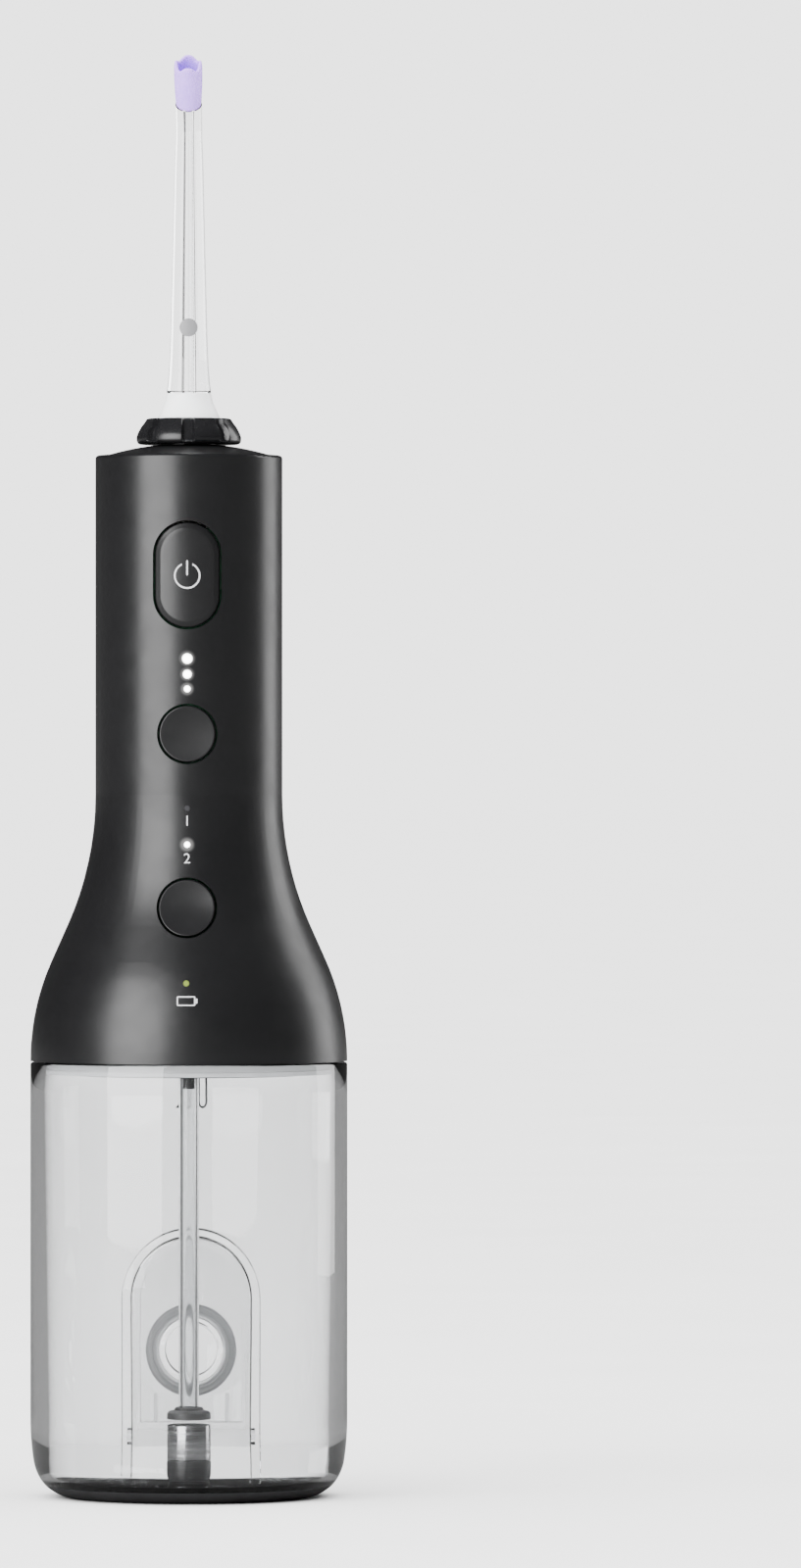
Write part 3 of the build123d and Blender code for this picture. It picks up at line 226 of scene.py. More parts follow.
def settle(piece):
    # the place goes into the mesh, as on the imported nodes
    selectOnly(piece)
    bpy.ops.object.transform_apply(location=True, rotation=True, scale=True)


def finishPiece(piece, finish, body, replaced=(), angle=32):
    smoothPiece(piece, angle)
    piece.data.materials.clear()
    piece.data.materials.append(finish)
    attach(piece, body)
    if replaced:
        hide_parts(*replaced)
    print("piece", piece.name, len(piece.data.vertices), "points")
    return piece


# finishes
def newFinish(name):
    finish = bpy.data.materials.new(name)
    finish.use_nodes = True
    tree = finish.node_tree
    return finish, tree, tree.nodes["Principled BSDF"]


def addNode(tree, kind, **values):
    node = tree.nodes.new("ShaderNode" + kind)
    for key, value in values.items():
        setattr(node, key, value)
    return node


def objectNoise(tree, scale, detail=2.0, stretch=(1, 1, 1)):
    place = addNode(tree, "TexCoord")
    mapping = addNode(tree, "Mapping")
    mapping.inputs["Scale"].default_value = stretch
    noise = addNode(tree, "TexNoise")
    noise.inputs["Scale"].default_value = scale
    noise.inputs["Detail"].default_value = detail
    tree.links.new(place.outputs["Object"], mapping.inputs["Vector"])
    tree.links.new(mapping.outputs["Vector"], noise.inputs["Vector"])
    return noise


def varyRoughness(tree, shader, noise, low, high):
    spread = addNode(tree, "MapRange")
    spread.inputs["From Min"].default_value = 0.3
    spread.inputs["From Max"].default_value = 0.7
    spread.inputs["To Min"].default_value = low
    spread.inputs["To Max"].default_value = high
    tree.links.new(noise.outputs["Fac"], spread.inputs["Value"])
    tree.links.new(spread.outputs["Result"], shader.inputs["Roughness"])


def varyColour(tree, shader, noise, first, second):
    mix = addNode(tree, "Mix", data_type="RGBA")
    mix.inputs[6].default_value = (*first, 1)
    mix.inputs[7].default_value = (*second, 1)
    tree.links.new(noise.outputs["Fac"], mix.inputs[0])
    tree.links.new(mix.outputs[2], shader.inputs["Base Color"])
    return mix


def addGrain(tree, shader, noise, strength, depth):
    bump = addNode(tree, "Bump")
    bump.inputs["Strength"].default_value = strength
    bump.inputs["Distance"].default_value = depth * mm
    tree.links.new(noise.outputs["Fac"], bump.inputs["Height"])
    tree.links.new(bump.outputs["Normal"], shader.inputs["Normal"])
    return bump


def mouldedPlastic(name, colour, rough, grain=0.25, speck=3200, tone=0.12, coat=0.0, soft=0.0):
    # fine mould texture, with the slow change of tone and gloss that a moulding has
    finish, tree, shader = newFinish(name)
    cloud = objectNoise(tree, 45, 3)
    varyColour(tree, shader, cloud, [c * (1 - tone) for c in colour], [c * (1 + tone) for c in colour])
    varyRoughness(tree, shader, objectNoise(tree, 160, 2), rough - 0.03, rough + 0.03)
    addGrain(tree, shader, objectNoise(tree, speck, 1), grain, 0.02)
    shader.inputs["Coat Weight"].default_value = coat
    shader.inputs["Coat Roughness"].default_value = 0.12
    shader.inputs["Subsurface Weight"].default_value = soft
    shader.inputs["Subsurface Radius"].default_value = (0.004, 0.003, 0.003)
    shader.inputs["Subsurface Scale"].default_value = 1.0
    return finish


def clearPlastic(name, tint, rough=0.02, ior=1.5, flow=0.02, stretch=(1, 1, 0.15)):
    # polished clear moulding with faint flow lines along its length
    finish, tree, shader = newFinish(name)
    shader.inputs["Base Color"].default_value = (*tint, 1)
    shader.inputs["Transmission Weight"].default_value = 1.0
    shader.inputs["IOR"].default_value = ior
    varyRoughness(tree, shader, objectNoise(tree, 90, 2), rough * 0.6, rough * 1.6)
    addGrain(tree, shader, objectNoise(tree, 120, 2, stretch), flow, 0.05)
    return finish


def turnedMetal(name, colour, rough, axis="Z", lines=900, depth=0.01):
    # metal with the fine rings left by turning or drawing
    finish, tree, shader = newFinish(name)
    shader.inputs["Metallic"].default_value = 1.0
    squeeze = {"X": (1, 0.03, 0.03), "Y": (0.03, 1, 0.03), "Z": (0.03, 0.03, 1)}[axis]
    rings = objectNoise(tree, lines, 4, squeeze)
    varyColour(tree, shader, rings, [c * 0.82 for c in colour], [min(1, c * 1.08) for c in colour])
    varyRoughness(tree, shader, rings, rough - 0.06, rough + 0.08)
    addGrain(tree, shader, rings, 0.25, depth)
    return finish


def rubberFinish(name, colour, rough=0.7, speck=2400, soft=0.0):
    finish, tree, shader = newFinish(name)
    varyColour(
        tree, shader, objectNoise(tree, 70, 3),
        [c * 0.85 for c in colour], [min(1, c * 1.12) for c in colour],
    )
    varyRoughness(tree, shader, objectNoise(tree, 240, 2), rough - 0.06, rough + 0.06)
    addGrain(tree, shader, objectNoise(tree, speck, 2), 0.35, 0.03)
    shader.inputs["Specular IOR Level"].default_value = 0.35
    shader.inputs["Subsurface Weight"].default_value = soft
    shader.inputs["Subsurface Radius"].default_value = (0.002, 0.0015, 0.002)
    shader.inputs["Subsurface Scale"].default_value = 1.0
    return finish


def litWindow(name, windows, colour, strength, dark=(0.02, 0.02, 0.022)):
    # a clear light window: bright in the middle of each lamp and falling off to its rim
    finish, tree, shader = newFinish(name)
    place = addNode(tree, "TexCoord")
    parts = addNode(tree, "SeparateXYZ")
    tree.links.new(place.outputs["Object"], parts.inputs["Vector"])
    total = None
    for height, radius in windows:
        spot = addNode(tree, "CombineXYZ")
        tree.links.new(parts.outputs["X"], spot.inputs["X"])
        tree.links.new(parts.outputs["Z"], spot.inputs["Z"])
        distance = addNode(tree, "VectorMath", operation="DISTANCE")
        tree.links.new(spot.outputs["Vector"], distance.inputs[0])
        distance.inputs[1].default_value = (0, 0, height * mm)
        fall = addNode(tree, "MapRange", interpolation_type="SMOOTHSTEP")
        fall.inputs["From Min"].default_value = radius * 0.55 * mm
        fall.inputs["From Max"].default_value = radius * 1.35 * mm
        fall.inputs["To Min"].default_value = 1.0
        fall.inputs["To Max"].default_value = 0.0
        tree.links.new(distance.outputs["Value"], fall.inputs["Value"])
        if total is None:
            total = fall.outputs["Result"]
        else:
            join = addNode(tree, "Math", operation="MAXIMUM")
            tree.links.new(total, join.inputs[0])
            tree.links.new(fall.outputs["Result"], join.inputs[1])
            total = join.outputs[0]
    power = addNode(tree, "Math", operation="MULTIPLY")
    power.inputs[1].default_value = strength
    tree.links.new(total, power.inputs[0])
    tree.links.new(power.outputs[0], shader.inputs["Emission Strength"])
    shader.inputs["Emission Color"].default_value = (*colour, 1)
    shader.inputs["Base Color"].default_value = (*dark, 1)
    shader.inputs["Roughness"].default_value = 0.3
    return finish


def addPaintedGlow(finish, spots):
    # painted glow: emission painted on the shell wall around each lamp, brightest near it and fading out:
    # height and radius in mm, colour and strength
    tree = finish.node_tree
    shader = tree.nodes["Principled BSDF"]
    place = addNode(tree, "TexCoord")
    total = None
    for height, radius, strength in spots:
        flat = addNode(tree, "Mapping")
        flat.inputs["Location"].default_value = (0, 0, -height * mm)
        tree.links.new(place.outputs["Object"], flat.inputs["Vector"])
        parts = addNode(tree, "SeparateXYZ")
        tree.links.new(flat.outputs["Vector"], parts.inputs["Vector"])
        squash = addNode(tree, "CombineXYZ")
        tree.links.new(parts.outputs["X"], squash.inputs["X"])
        tree.links.new(parts.outputs["Z"], squash.inputs["Z"])
        length = addNode(tree, "VectorMath", operation="LENGTH")
        tree.links.new(squash.outputs["Vector"], length.inputs[0])
        fall = addNode(tree, "MapRange", interpolation_type="SMOOTHERSTEP")
        fall.inputs["From Min"].default_value = radius * 0.3 * mm
        fall.inputs["From Max"].default_value = radius * mm
        fall.inputs["To Min"].default_value = strength
        fall.inputs["To Max"].default_value = 0.0
        tree.links.new(length.outputs["Value"], fall.inputs["Value"])
        front = addNode(tree, "Math", operation="LESS_THAN")  # the painted glow is only on the front wall
        front.inputs[1].default_value = 0.0
        tree.links.new(parts.outputs["Y"], front.inputs[0])
        gated = addNode(tree, "Math", operation="MULTIPLY")
        tree.links.new(fall.outputs["Result"], gated.inputs[0])
        tree.links.new(front.outputs[0], gated.inputs[1])
        if total is None:
            total = gated.outputs[0]
        else:
            join = addNode(tree, "Math", operation="ADD")
            tree.links.new(total, join.inputs[0])
            tree.links.new(gated.outputs[0], join.inputs[1])
            total = join.outputs[0]
    tree.links.new(total, shader.inputs["Emission Strength"])
    shader.inputs["Emission Color"].default_value = (1.0, 0.99, 0.97, 1)


lampValues = {
    "intensity": [(183.5, 1.1), (180.1, 0.92), (176.9, 0.7)],  # height and radius of each window
    "mode": [(143.0, 0.65)],  # the lower one is lit, the upper one is off
    "battery": [(113.0, 0.65)],
    # height, radius and strength of the glow painted on the shell around the lit lamps
    "paintedGlow": [(183.5, 2.1, 0.35), (180.1, 1.9, 0.35), (176.9, 1.8, 0.35), (143.0, 2.0, 0.35)],
}

shellBlack = mouldedPlastic("shellBlack", (0.004, 0.004, 0.0044), 0.33, grain=0.2)
# the shell gets a glow of emission painted around the lamps
addPaintedGlow(shellBlack, lampValues["paintedGlow"])
capBlack = mouldedPlastic("capBlack", (0.005, 0.005, 0.0054), 0.36, grain=0.3)
buttonBlack = mouldedPlastic("buttonBlack", (0.005, 0.005, 0.0054), 0.36, grain=0.3)
dialBlack = mouldedPlastic("dialBlack", (0.005, 0.005, 0.0055), 0.26, grain=0.04)
nozzleWhite = mouldedPlastic("nozzleWhite", (0.80, 0.81, 0.815), 0.33, grain=0.08, tone=0.03, soft=0.15)
tipLilac = rubberFinish("tipLilac", (0.42, 0.24, 0.80), 0.5, soft=0.25)
nozzleClear = clearPlastic("nozzleClear", (0.97, 0.973, 0.975), rough=0.015, ior=1.49)
reservoirClear = clearPlastic("reservoirClear", (0.8, 0.805, 0.81), rough=0.02, ior=1.54)
doorClear = clearPlastic("doorClear", (0.84, 0.845, 0.85), rough=0.03, ior=1.54)
sealGrey = rubberFinish("sealGrey", (0.68, 0.69, 0.7), 0.5)
frostedClear = clearPlastic("frostedClear", (0.85, 0.85, 0.86), rough=0.4)
hoseClear = clearPlastic(
    "hoseClear", (0.86, 0.87, 0.875), rough=0.1, ior=1.41, flow=0.1, stretch=(1, 1, 0.05),
)
padRubber = rubberFinish("padRubber", (0.016, 0.016, 0.017), 0.55)
fittingBlack = mouldedPlastic("fittingBlack", (0.03, 0.03, 0.031), 0.45)
filterBlack = mouldedPlastic("filterBlack", (0.012, 0.012, 0.013), 0.42)
weightSteel = turnedMetal("weightSteel", (0.66, 0.66, 0.67), 0.2, lines=2600, depth=0.003)
plateBlack = mouldedPlastic("plateBlack", (0.035, 0.035, 0.037), 0.45)
windowWhite = litWindow("windowWhite", lampValues["intensity"], (1.0, 0.99, 0.97), 14)
windowMode = litWindow("windowMode", lampValues["mode"], (1.0, 0.99, 0.97), 14)
windowBattery = litWindow("windowBattery", lampValues["battery"], (0.5, 0.72, 0.0), 0.9)
markGrey = mouldedPlastic("markGrey", (0.42, 0.42, 0.43), 0.5, grain=0.1, tone=0.05)
markDark = mouldedPlastic("markDark", (0.03, 0.03, 0.032), 0.5, grain=0.1)
badgeGrey = mouldedPlastic("badgeGrey", (0.16, 0.16, 0.165), 0.5, grain=0.1, tone=0.05)
carrierGrey = mouldedPlastic("carrierGrey", (0.16, 0.165, 0.17), 0.5)
pumpGrey = mouldedPlastic("pumpGrey", (0.3, 0.31, 0.32), 0.45)
gearWhite = mouldedPlastic("gearWhite", (0.72, 0.72, 0.68), 0.4, tone=0.05)
boardGreen = mouldedPlastic("boardGreen", (0.01, 0.09, 0.04), 0.3, grain=0.4, speck=1800)
cellWrap = mouldedPlastic("cellWrap", (0.03, 0.12, 0.3), 0.25, grain=0.1, coat=0.4)
lampWhite = mouldedPlastic("lampWhite", (0.8, 0.78, 0.6), 0.3, grain=0.1)
switchBlack = mouldedPlastic("switchBlack", (0.02, 0.02, 0.02), 0.5)
tubeSoft = rubberFinish("tubeSoft", (0.7, 0.7, 0.66), 0.45, soft=0.2)
sealBlack = rubberFinish("sealBlack", (0.015, 0.015, 0.015), 0.5)
screwSteel = turnedMetal("screwSteel", (0.5, 0.5, 0.5), 0.35)
springSteel = turnedMetal("springSteel", (0.62, 0.62, 0.63), 0.25)
brassGold = turnedMetal("brassGold", (0.75, 0.55, 0.22), 0.28)
coverRubber = rubberFinish("coverRubber", (0.02, 0.02, 0.021), 0.6)

nodeFinishes = {
    "base_pad": padRubber, "reservoir": reservoirClear, "fill_door": doorClear, "fill_door_seal": sealGrey,
    "reservoir_seal": sealGrey, "hose_collar": fittingBlack, "hose_weight": weightSteel,
    "hose_filter": filterBlack, "intake_fitting": fittingBlack, "base_plate": plateBlack,
    "housing_shell": shellBlack, "top_cap": capBlack, "power_button": buttonBlack,
    "intensity_button": buttonBlack, "mode_button": buttonBlack, "power_switch_plunger": switchBlack,
    "intensity_switch_plunger": switchBlack, "mode_switch_plunger": switchBlack, "tact_switches": screwSteel,
    "control_board": boardGreen, "indicator_leds": lampWhite, "intensity_light_guide": windowWhite,
    "mode_light_guide": windowMode, "battery_light_guide": windowBattery, "inner_carrier": carrierGrey,
    "case_screws": screwSteel, "battery_cell": cellWrap, "battery_tabs": screwSteel, "motor_can": screwSteel,
    "motor_end_cap": gearWhite, "motor_shaft": springSteel, "motor_pinion": brassGold,
    "crank_gear": gearWhite,
    "crank_axle": springSteel, "connecting_rod": gearWhite, "piston": gearWhite, "piston_seal": sealBlack,
    "pump_body": pumpGrey, "inlet_seat": pumpGrey, "inlet_valve_ball": springSteel,
    "outlet_valve_ball": springSteel, "outlet_valve_spring": springSteel, "outlet_fitting": pumpGrey,
    "suction_tube": tubeSoft, "outlet_tube": tubeSoft, "nozzle_socket": gearWhite, "socket_o_ring": sealBlack,
    "retaining_clip": springSteel, "release_button": buttonBlack, "release_spring": springSteel,
    "nozzle_dial": dialBlack, "nozzle_base": nozzleWhite, "nozzle_tube": nozzleClear, "nozzle_tip": tipLilac,
    "charge_inlet": fittingBlack, "charge_pins": brassGold, "charge_cover": coverRubber,
    "intake_hose": hoseClear,
}
for nodeName, finish in nodeFinishes.items():
    nodeMesh = nodes[nodeName].data
    nodeMesh.materials.clear()
    nodeMesh.materials.append(finish)
print("finishes:", len(bpy.data.materials))


# dial: eight grooves run down its side
dialValues = {
    "foot": 10.6, "wide": 11.6, "shoulder": 9.35, "top": 8.35,
    "grooves": 8, "grooveWidth": 2.45, "grooveDepth": 1.35, "wallRun": 0.45, "ledge": 0.75,
    "recess": 7.2, "recessDepth": 0.3,
}


def grooveShare(x, y, count, width, run):
    # 1 in a groove, 0 between grooves, with a short slope at each wall
    angle = atan2(y, x) + pi / 2
    step = tau / count
    offset = abs((angle + step / 2) % step - step / 2) * hypot(x, y)
    share = min(1, max(0, (width / 2 + run / 2 - offset) / run))
    return share * share * (3 - 2 * share)


def addDial():
    low, high = dialLow.z / mm, dialHigh.z / mm
    foot = high - 5.7  # the sleeve below this sits in the cap
    side = (
        [(6.2, low + 2.8), (6.2, foot), (dialValues["foot"] - 0.7, foot)]
        + arcPoints((dialValues["foot"] - 0.1, foot + 1.05), 1.05, -90, -12, 8)
        + [(11.55, foot + 1.6), (11.28, foot + 2.4), (10.9, foot + 3.2),
           (10.42, foot + 4.0), (9.86, foot + 4.7)]
        + arcPoints((8.75, foot + 4.75), 0.95, 36, 90, 6)
        + [(8.3, high), (7.55, high)]
        + [(dialValues["recess"], high - 0.12), (dialValues["recess"], high - dialValues["recessDepth"])]
        + [(4.83, high - dialValues["recessDepth"]), (4.83, high - 4.7), (3.8, high - 4.7), (3.8, low)]
        + [(5.25, low), (5.25, low + 2.8)]
    )
    dial = turnPiece("grooveDial", side, steps=384, closed=True)
    for vertex in dial.data.vertices:
        x, y, z = vertex.co / mm
        radius = hypot(x, y)
        if radius > 7.9 and z > foot + 0.3:
            share = grooveShare(x, y, dialValues["grooves"], dialValues["grooveWidth"], dialValues["wallRun"])
            rise = min(1, max(0, (z - foot - 0.35) / dialValues["ledge"]))
            reach = min(1, (radius - 7.9) / 0.5)
            pull = share * rise * rise * (3 - 2 * rise) * reach * dialValues["grooveDepth"]
            pull = min(pull, radius - 7.75)
            vertex.co.x -= pull * mm * x / radius
            vertex.co.y -= pull * mm * y / radius
    finishPiece(dial, dialBlack, "dial", ["nozzle_dial"], angle=40)


addDial()


# nozzle base: white cone with its stem below
baseValues = {"coneFoot": 7.1, "coneTop": 4.9, "collar": 4.8, "shaft": 3.7, "groove": 2.84}


def addNozzleBase():
    low, high = baseLow.z / mm, baseHigh.z / mm
    foot = high - 5.8
    cone = [
        (
            baseValues["coneTop"] + (baseValues["coneFoot"] - baseValues["coneTop"]) * (1 - t) ** 1.45,
            foot + 5.8 * t,
        )
        for t in [i / 14 for i in range(15)]
    ]
    outline = (
        [(1.2, low), (baseValues["shaft"] - 1.1, low), (baseValues["shaft"] - 0.8, low + 0.5)]
        + [(baseValues["shaft"], low + 1.5), (baseValues["shaft"], low + 7.8),
           (baseValues["groove"], low + 7.8)]
        + [(baseValues["groove"], low + 10.4), (baseValues["shaft"], low + 10.4),
           (baseValues["shaft"], foot - 4.3)]
        + [(baseValues["collar"] - 0.6, foot - 4.3), (baseValues["collar"], foot - 3.7),
           (baseValues["collar"], foot)]
        + [(baseValues["coneFoot"] - 0.15, foot)]
        + cone
        + [(3.62, high), (3.62, high - 4.5), (1.2, high - 4.5)]
    )
    base = turnPiece("nozzleBase", outline, steps=128, closed=True)
    bevelEdges(base, 0.12, 2, 50)
    bpy.ops.object.select_all(action="DESELECT")
    bpy.ops.mesh.primitive_cube_add(size=1, location=(0, -4.0 * mm, (low + 11.45) * mm))
    notch = bpy.context.active_object
    notch.dimensions = (2.4 * mm, 2.32 * mm, 2.1 * mm)
    settle(notch)
    cutPiece(base, [notch])
    finishPiece(base, nozzleWhite, "nozzle", ["nozzle_base"])


addNozzleBase()


# nozzle tube: clear, with a bore that narrows upwards and a bend near its end
tubeValues = {
    "bendHeight": 297.7, "bendRadius": 12.0, "bendAngle": 38.0,
    "sides": [(0.0, 4.84), (2.3, 4.58), (5.0, 4.36), (8.0, 4.19), (12.6, 4.02), (20.3, 3.84), (30.7, 3.58),
              (41.0, 3.34), (51.3, 3.1), (55.8, 2.9)],
    "spigot": 3.58, "boreLow": 1.12, "boreHigh": 0.72,
}


def addNozzleTube():
    foot = baseHigh.z / mm + 0.02
    bend = tubeValues["bendHeight"]
    low = foot - 4.3
    sides = [(r, foot + h) for h, r in tubeValues["sides"][:-1]] + [(tubeValues["sides"][-1][1], bend)]
    spaced = []
    for (r0, z0), (r1, z1) in zip(sides, sides[1:]):
        count = max(1, round((z1 - z0) / 2.5))
        spaced += [(r0 + (r1 - r0) * i / count, z0 + (z1 - z0) * i / count) for i in range(count)]
    bore = [(tubeValues["boreHigh"], bend), (tubeValues["boreLow"], low)]
    outline = bore + [(tubeValues["spigot"], low), (tubeValues["spigot"], foot), (4.6, foot)]
    outline += [(4.84, foot + 0.25)] + spaced[1:] + [sides[-1]]
    tube = turnPiece("nozzleTube", outline, steps=96)
    bpy.ops.object.mode_set(mode="EDIT")
    bpy.ops.mesh.select_mode(type="EDGE")
    bpy.ops.mesh.select_all(action="DESELECT")
    bpy.ops.mesh.select_non_manifold()  # the open rims of the wall and of the bore
    bpy.ops.mesh.spin(
        steps=14, angle=radians(tubeValues["bendAngle"]),
        center=(0, -tubeValues["bendRadius"] * mm, bend * mm), axis=(-1, 0, 0),
    )
    turn = radians(tubeValues["bendAngle"])
    along = Vector((0, -sin(turn), cos(turn)))
    bpy.ops.mesh.extrude_edges_move(TRANSFORM_OT_translate={"value": along * 0.02 * mm})
    bpy.ops.mesh.bridge_edge_loops()
    bpy.ops.mesh.select_all(action="SELECT")
    bpy.ops.mesh.normals_make_consistent(inside=False)
    bpy.ops.object.mode_set(mode="OBJECT")
    finishPiece(tube, nozzleClear, "nozzle", ["nozzle_tube"], angle=40)


addNozzleTube()
print("nozzle made")


# soft tip: a cup with four petals round its rim
tipValues = {
    "length": 11.3, "foot": 2.78, "wide": 3.1, "wall": 0.62, "bowl": 4.4, "jet": 0.5,
    "petalDepth": 1.15, "petalReach": 2.6, "joint": 0.02,
}


def addTip():
    length, wall = tipValues["length"], tipValues["wall"]
    outer = [
        (
            tipValues["foot"] + (tipValues["wide"] - tipValues["foot"]) * sin(pi / 2 * min(1, t / 0.75)),
            length * t,
        )
             for t in [i / 24 for i in range(23)]]
    rim = arcPoints((tipValues["wide"] - wall / 2 - 0.02, length - wall / 2), wall / 2, 0, 180, 8)
    bowl = [(tipValues["wide"] - wall - 0.1, length - 0.9 - i * 0.35) for i in range(9)]
    floor = arcPoints((tipValues["wide"] - wall - 0.9, length - tipValues["bowl"] + 0.75), 0.75, 0, -90, 6)
    jet = [
        (tipValues["jet"] + 0.25, length - tipValues["bowl"]),
        (tipValues["jet"], length - tipValues["bowl"] - 0.25),
    ]
    outline = (
        [(tipValues["jet"], 0.0), (tipValues["foot"] - 0.15, 0.0)] + outer[1:] + rim + bowl + floor + jet
    )
    tip = turnPiece("softTip", outline, steps=128, closed=True)
    for vertex in tip.data.vertices:
        x, y, z = vertex.co / mm
        near = (z - (length - tipValues["petalReach"])) / tipValues["petalReach"]
        if hypot(x, y) > 1.9 and near > 0:
            valley = 0.5 - 0.5 * cos(4 * atan2(y, x))  # petals at the front, back and sides
            valley = valley ** 1.7
            vertex.co.z -= tipValues["petalDepth"] * valley * min(1, near) ** 1.3 * mm
            lean = 0.16 * (1 - valley) * min(1, near) ** 3
            vertex.co.x -= lean * mm * x / hypot(x, y)
            vertex.co.y -= lean * mm * y / hypot(x, y)
    turn = radians(tubeValues["bendAngle"])
    reach = tubeValues["bendRadius"]
    along = Vector((0, -sin(turn), cos(turn)))
    end = Vector((0, -reach * (1 - cos(turn)), tubeValues["bendHeight"] + reach * sin(turn))) * mm
    tip.rotation_euler = (turn, 0, 0)
    tip.location = end + along * (tipValues["joint"] + 0.02) * mm
    settle(tip)
    finishPiece(tip, tipLilac, "nozzle", ["nozzle_tip"], angle=50)


addTip()
print("tip made")


# button caps: a bevel band round a flat face, or a dish
buttonValues = {
    "power": {"width": 14.0, "height": 22.8, "centre": 201.7, "band": 1.3, "fall": 0.45, "deep": 2.4},
    "round": {
        "radius": 6.1, "centres": {"intensity": 167.1, "mode": 129.3},
        "dish": 1.0, "rim": 0.35, "deep": 2.4,
    },
    "sunk": 0.12,  # the caps stand just inside the wall
}


def addPowerButton():
    v = buttonValues["power"]
    radius = v["width"] / 2
    flat = radius - v["band"]
    rows = [(0.0001, 0.0)] + [(flat * i / 8, 0.0) for i in range(1, 9)]
    rows += [
        (flat + 0.12, -0.02), (flat + 0.3, -0.1),
        (radius - 0.4, -v["fall"] + 0.06), (radius - 0.2, -v["fall"]),
    ]
    rows += [(radius - 0.07, -v["fall"] - 0.07), (radius, -v["fall"] - 0.22), (radius, -v["deep"])]
    cap = turnPiece("powerCap", rows, steps=112)
    laySurface(
        cap, v["centre"], lambda x, z: wallDepth(x, z) - buttonValues["sunk"],
        (v["height"] - v["width"]) / 2,
    )
    finishPiece(cap, buttonBlack, "power", ["power_button"], angle=40)


def addRoundButton(name):
    v = buttonValues["round"]
    centre, radius, rim = v["centres"][name], v["radius"], v["rim"]
    bowl = radius - rim
    rows = [(0.0001, -v["dish"])] + [(bowl * i / 14, -v["dish"] * (1 - (i / 14) ** 2)) for i in range(1, 15)]
    rows += [
        (bowl + 0.1, 0.03), (bowl + 0.2, 0.01), (radius - 0.06, -0.06), (radius, -0.2), (radius, -v["deep"]),
    ]
    cap = turnPiece(name + "Cap", rows, steps=112)
    laySurface(cap, centre, lambda x, z: wallDepth(x, z) - buttonValues["sunk"])
    finishPiece(cap, buttonBlack, name, [name + "_button"], angle=40)


addPowerButton()
addRoundButton("intensity")
addRoundButton("mode")


# printed marks: power sign, numerals, battery sign, fill line
markValues = {
    "ring": 2.7, "ringStroke": 0.36, "gap": 2.3, "bar": (0.38, 3.3), "lift": 0.05,
    "numerals": {"one": ("1", 148.1, 2.3), "two": ("2", 139.9, 2.3)},
    "battery": {"centre": 109.2, "width": 4.05, "height": 2.1, "stroke": 0.28, "nub": (0.4, 1.05)},
    "fill": {"line": 88.4, "width": 7.6, "text": "250", "centre": 85.5, "size": 3.7},
}


def addPowerSign():
    v = markValues
    centre = 201.55
    outer, inner = v["ring"] + v["ringStroke"] / 2, v["ring"] - v["ringStroke"] / 2
    ring = [(inner, 0), (inner, 0.04), (outer, 0.04), (outer, 0)]
    sign = turnPiece("powerSign", ring, steps=96, closed=True)
    bpy.ops.object.select_all(action="DESELECT")
    bpy.ops.mesh.primitive_cube_add(size=1, location=(0, v["ring"] * mm, 0))
    gap = bpy.context.active_object
    gap.dimensions = (v["gap"] * mm, 2.4 * mm, 1 * mm)
    settle(gap)
    cutPiece(sign, [gap])
    bar = roundedPrism("powerBar", v["bar"][0], v["bar"][1], 0.2, 0, 0, 0.04, 24)
    bar.data.transform(Matrix.Rotation(radians(-90), 4, "X"))
    for vertex in bar.data.vertices:
        vertex.co.y += (v["bar"][1] / 2 + 0.05) * mm
    selectOnly(sign)
    bar.select_set(True)
    bpy.ops.object.join()
    face = buttonValues["sunk"] - v["lift"] + 0.02
    laySurface(sign, centre, lambda x, z: wallDepth(x, z) - face)
    finishPiece(sign, markGrey, "power")


def addText(name, words, size, centre, finish, body, depth):
    bpy.ops.object.select_all(action="DESELECT")
    bpy.ops.object.text_add(location=(0, 0, 0))
    text = bpy.context.active_object
    text.data.body = words
    text.data.align_x, text.data.align_y = "CENTER", "CENTER"
    text.data.size = size * 1.38 * mm
    text.data.extrude = 0.02 * mm
    text.data.offset = -0.00001
    bpy.ops.object.convert(target="MESH")
    mark = bpy.context.active_object
    mark.name = mark.data.name = name
    laySurface(mark, centre, depth)
    bpy.ops.object.mode_set(mode="EDIT")
    bpy.ops.mesh.select_all(action="SELECT")
    bpy.ops.mesh.remove_doubles(threshold=1e-7)
    bpy.ops.mesh.normals_make_consistent(inside=False)
    bpy.ops.object.mode_set(mode="OBJECT")
    return finishPiece(mark, finish, body)


def addBatterySign():
    v = markValues["battery"]
    sign = roundedPrism("batterySign", v["width"], v["height"], 0.35, v["centre"], -0.02, 0.02)
    hole = roundedPrism(
        "hole", v["width"] - 2 * v["stroke"], v["height"] - 2 * v["stroke"], 0.12, v["centre"], -1, 1,
    )
    cutPiece(sign, [hole])
    nub = roundedPrism("nub", v["nub"][0], v["nub"][1], 0.1, v["centre"], -0.02, 0.02, 24)
    for vertex in nub.data.vertices:
        vertex.co.x += (v["width"] / 2 + v["nub"][0] / 2 + 0.02) * mm
    selectOnly(sign)
    nub.select_set(True)
    bpy.ops.object.join()
    bpy.ops.object.mode_set(mode="EDIT")
    bpy.ops.mesh.select_all(action="SELECT")
    bpy.ops.mesh.quads_convert_to_tris()
    bpy.ops.mesh.subdivide(number_cuts=3)
    bpy.ops.object.mode_set(mode="OBJECT")
    for vertex in sign.data.vertices:
        x, y, z = vertex.co / mm
        vertex.co.y = (y - wallDepth(x, z) - 0.03) * mm
    finishPiece(sign, markGrey, "handle")


addPowerSign()
for key, (words, centre, size) in markValues["numerals"].items():
    addText("numeral_" + key, words, size, centre, markGrey, "handle", lambda x, z: wallDepth(x, z) + 0.03)
addBatterySign()


# plain disc on the nozzle tube where a size badge would be
badgeValues = {"radius": 2.0, "centre": 256.2, "tube": 4.0}


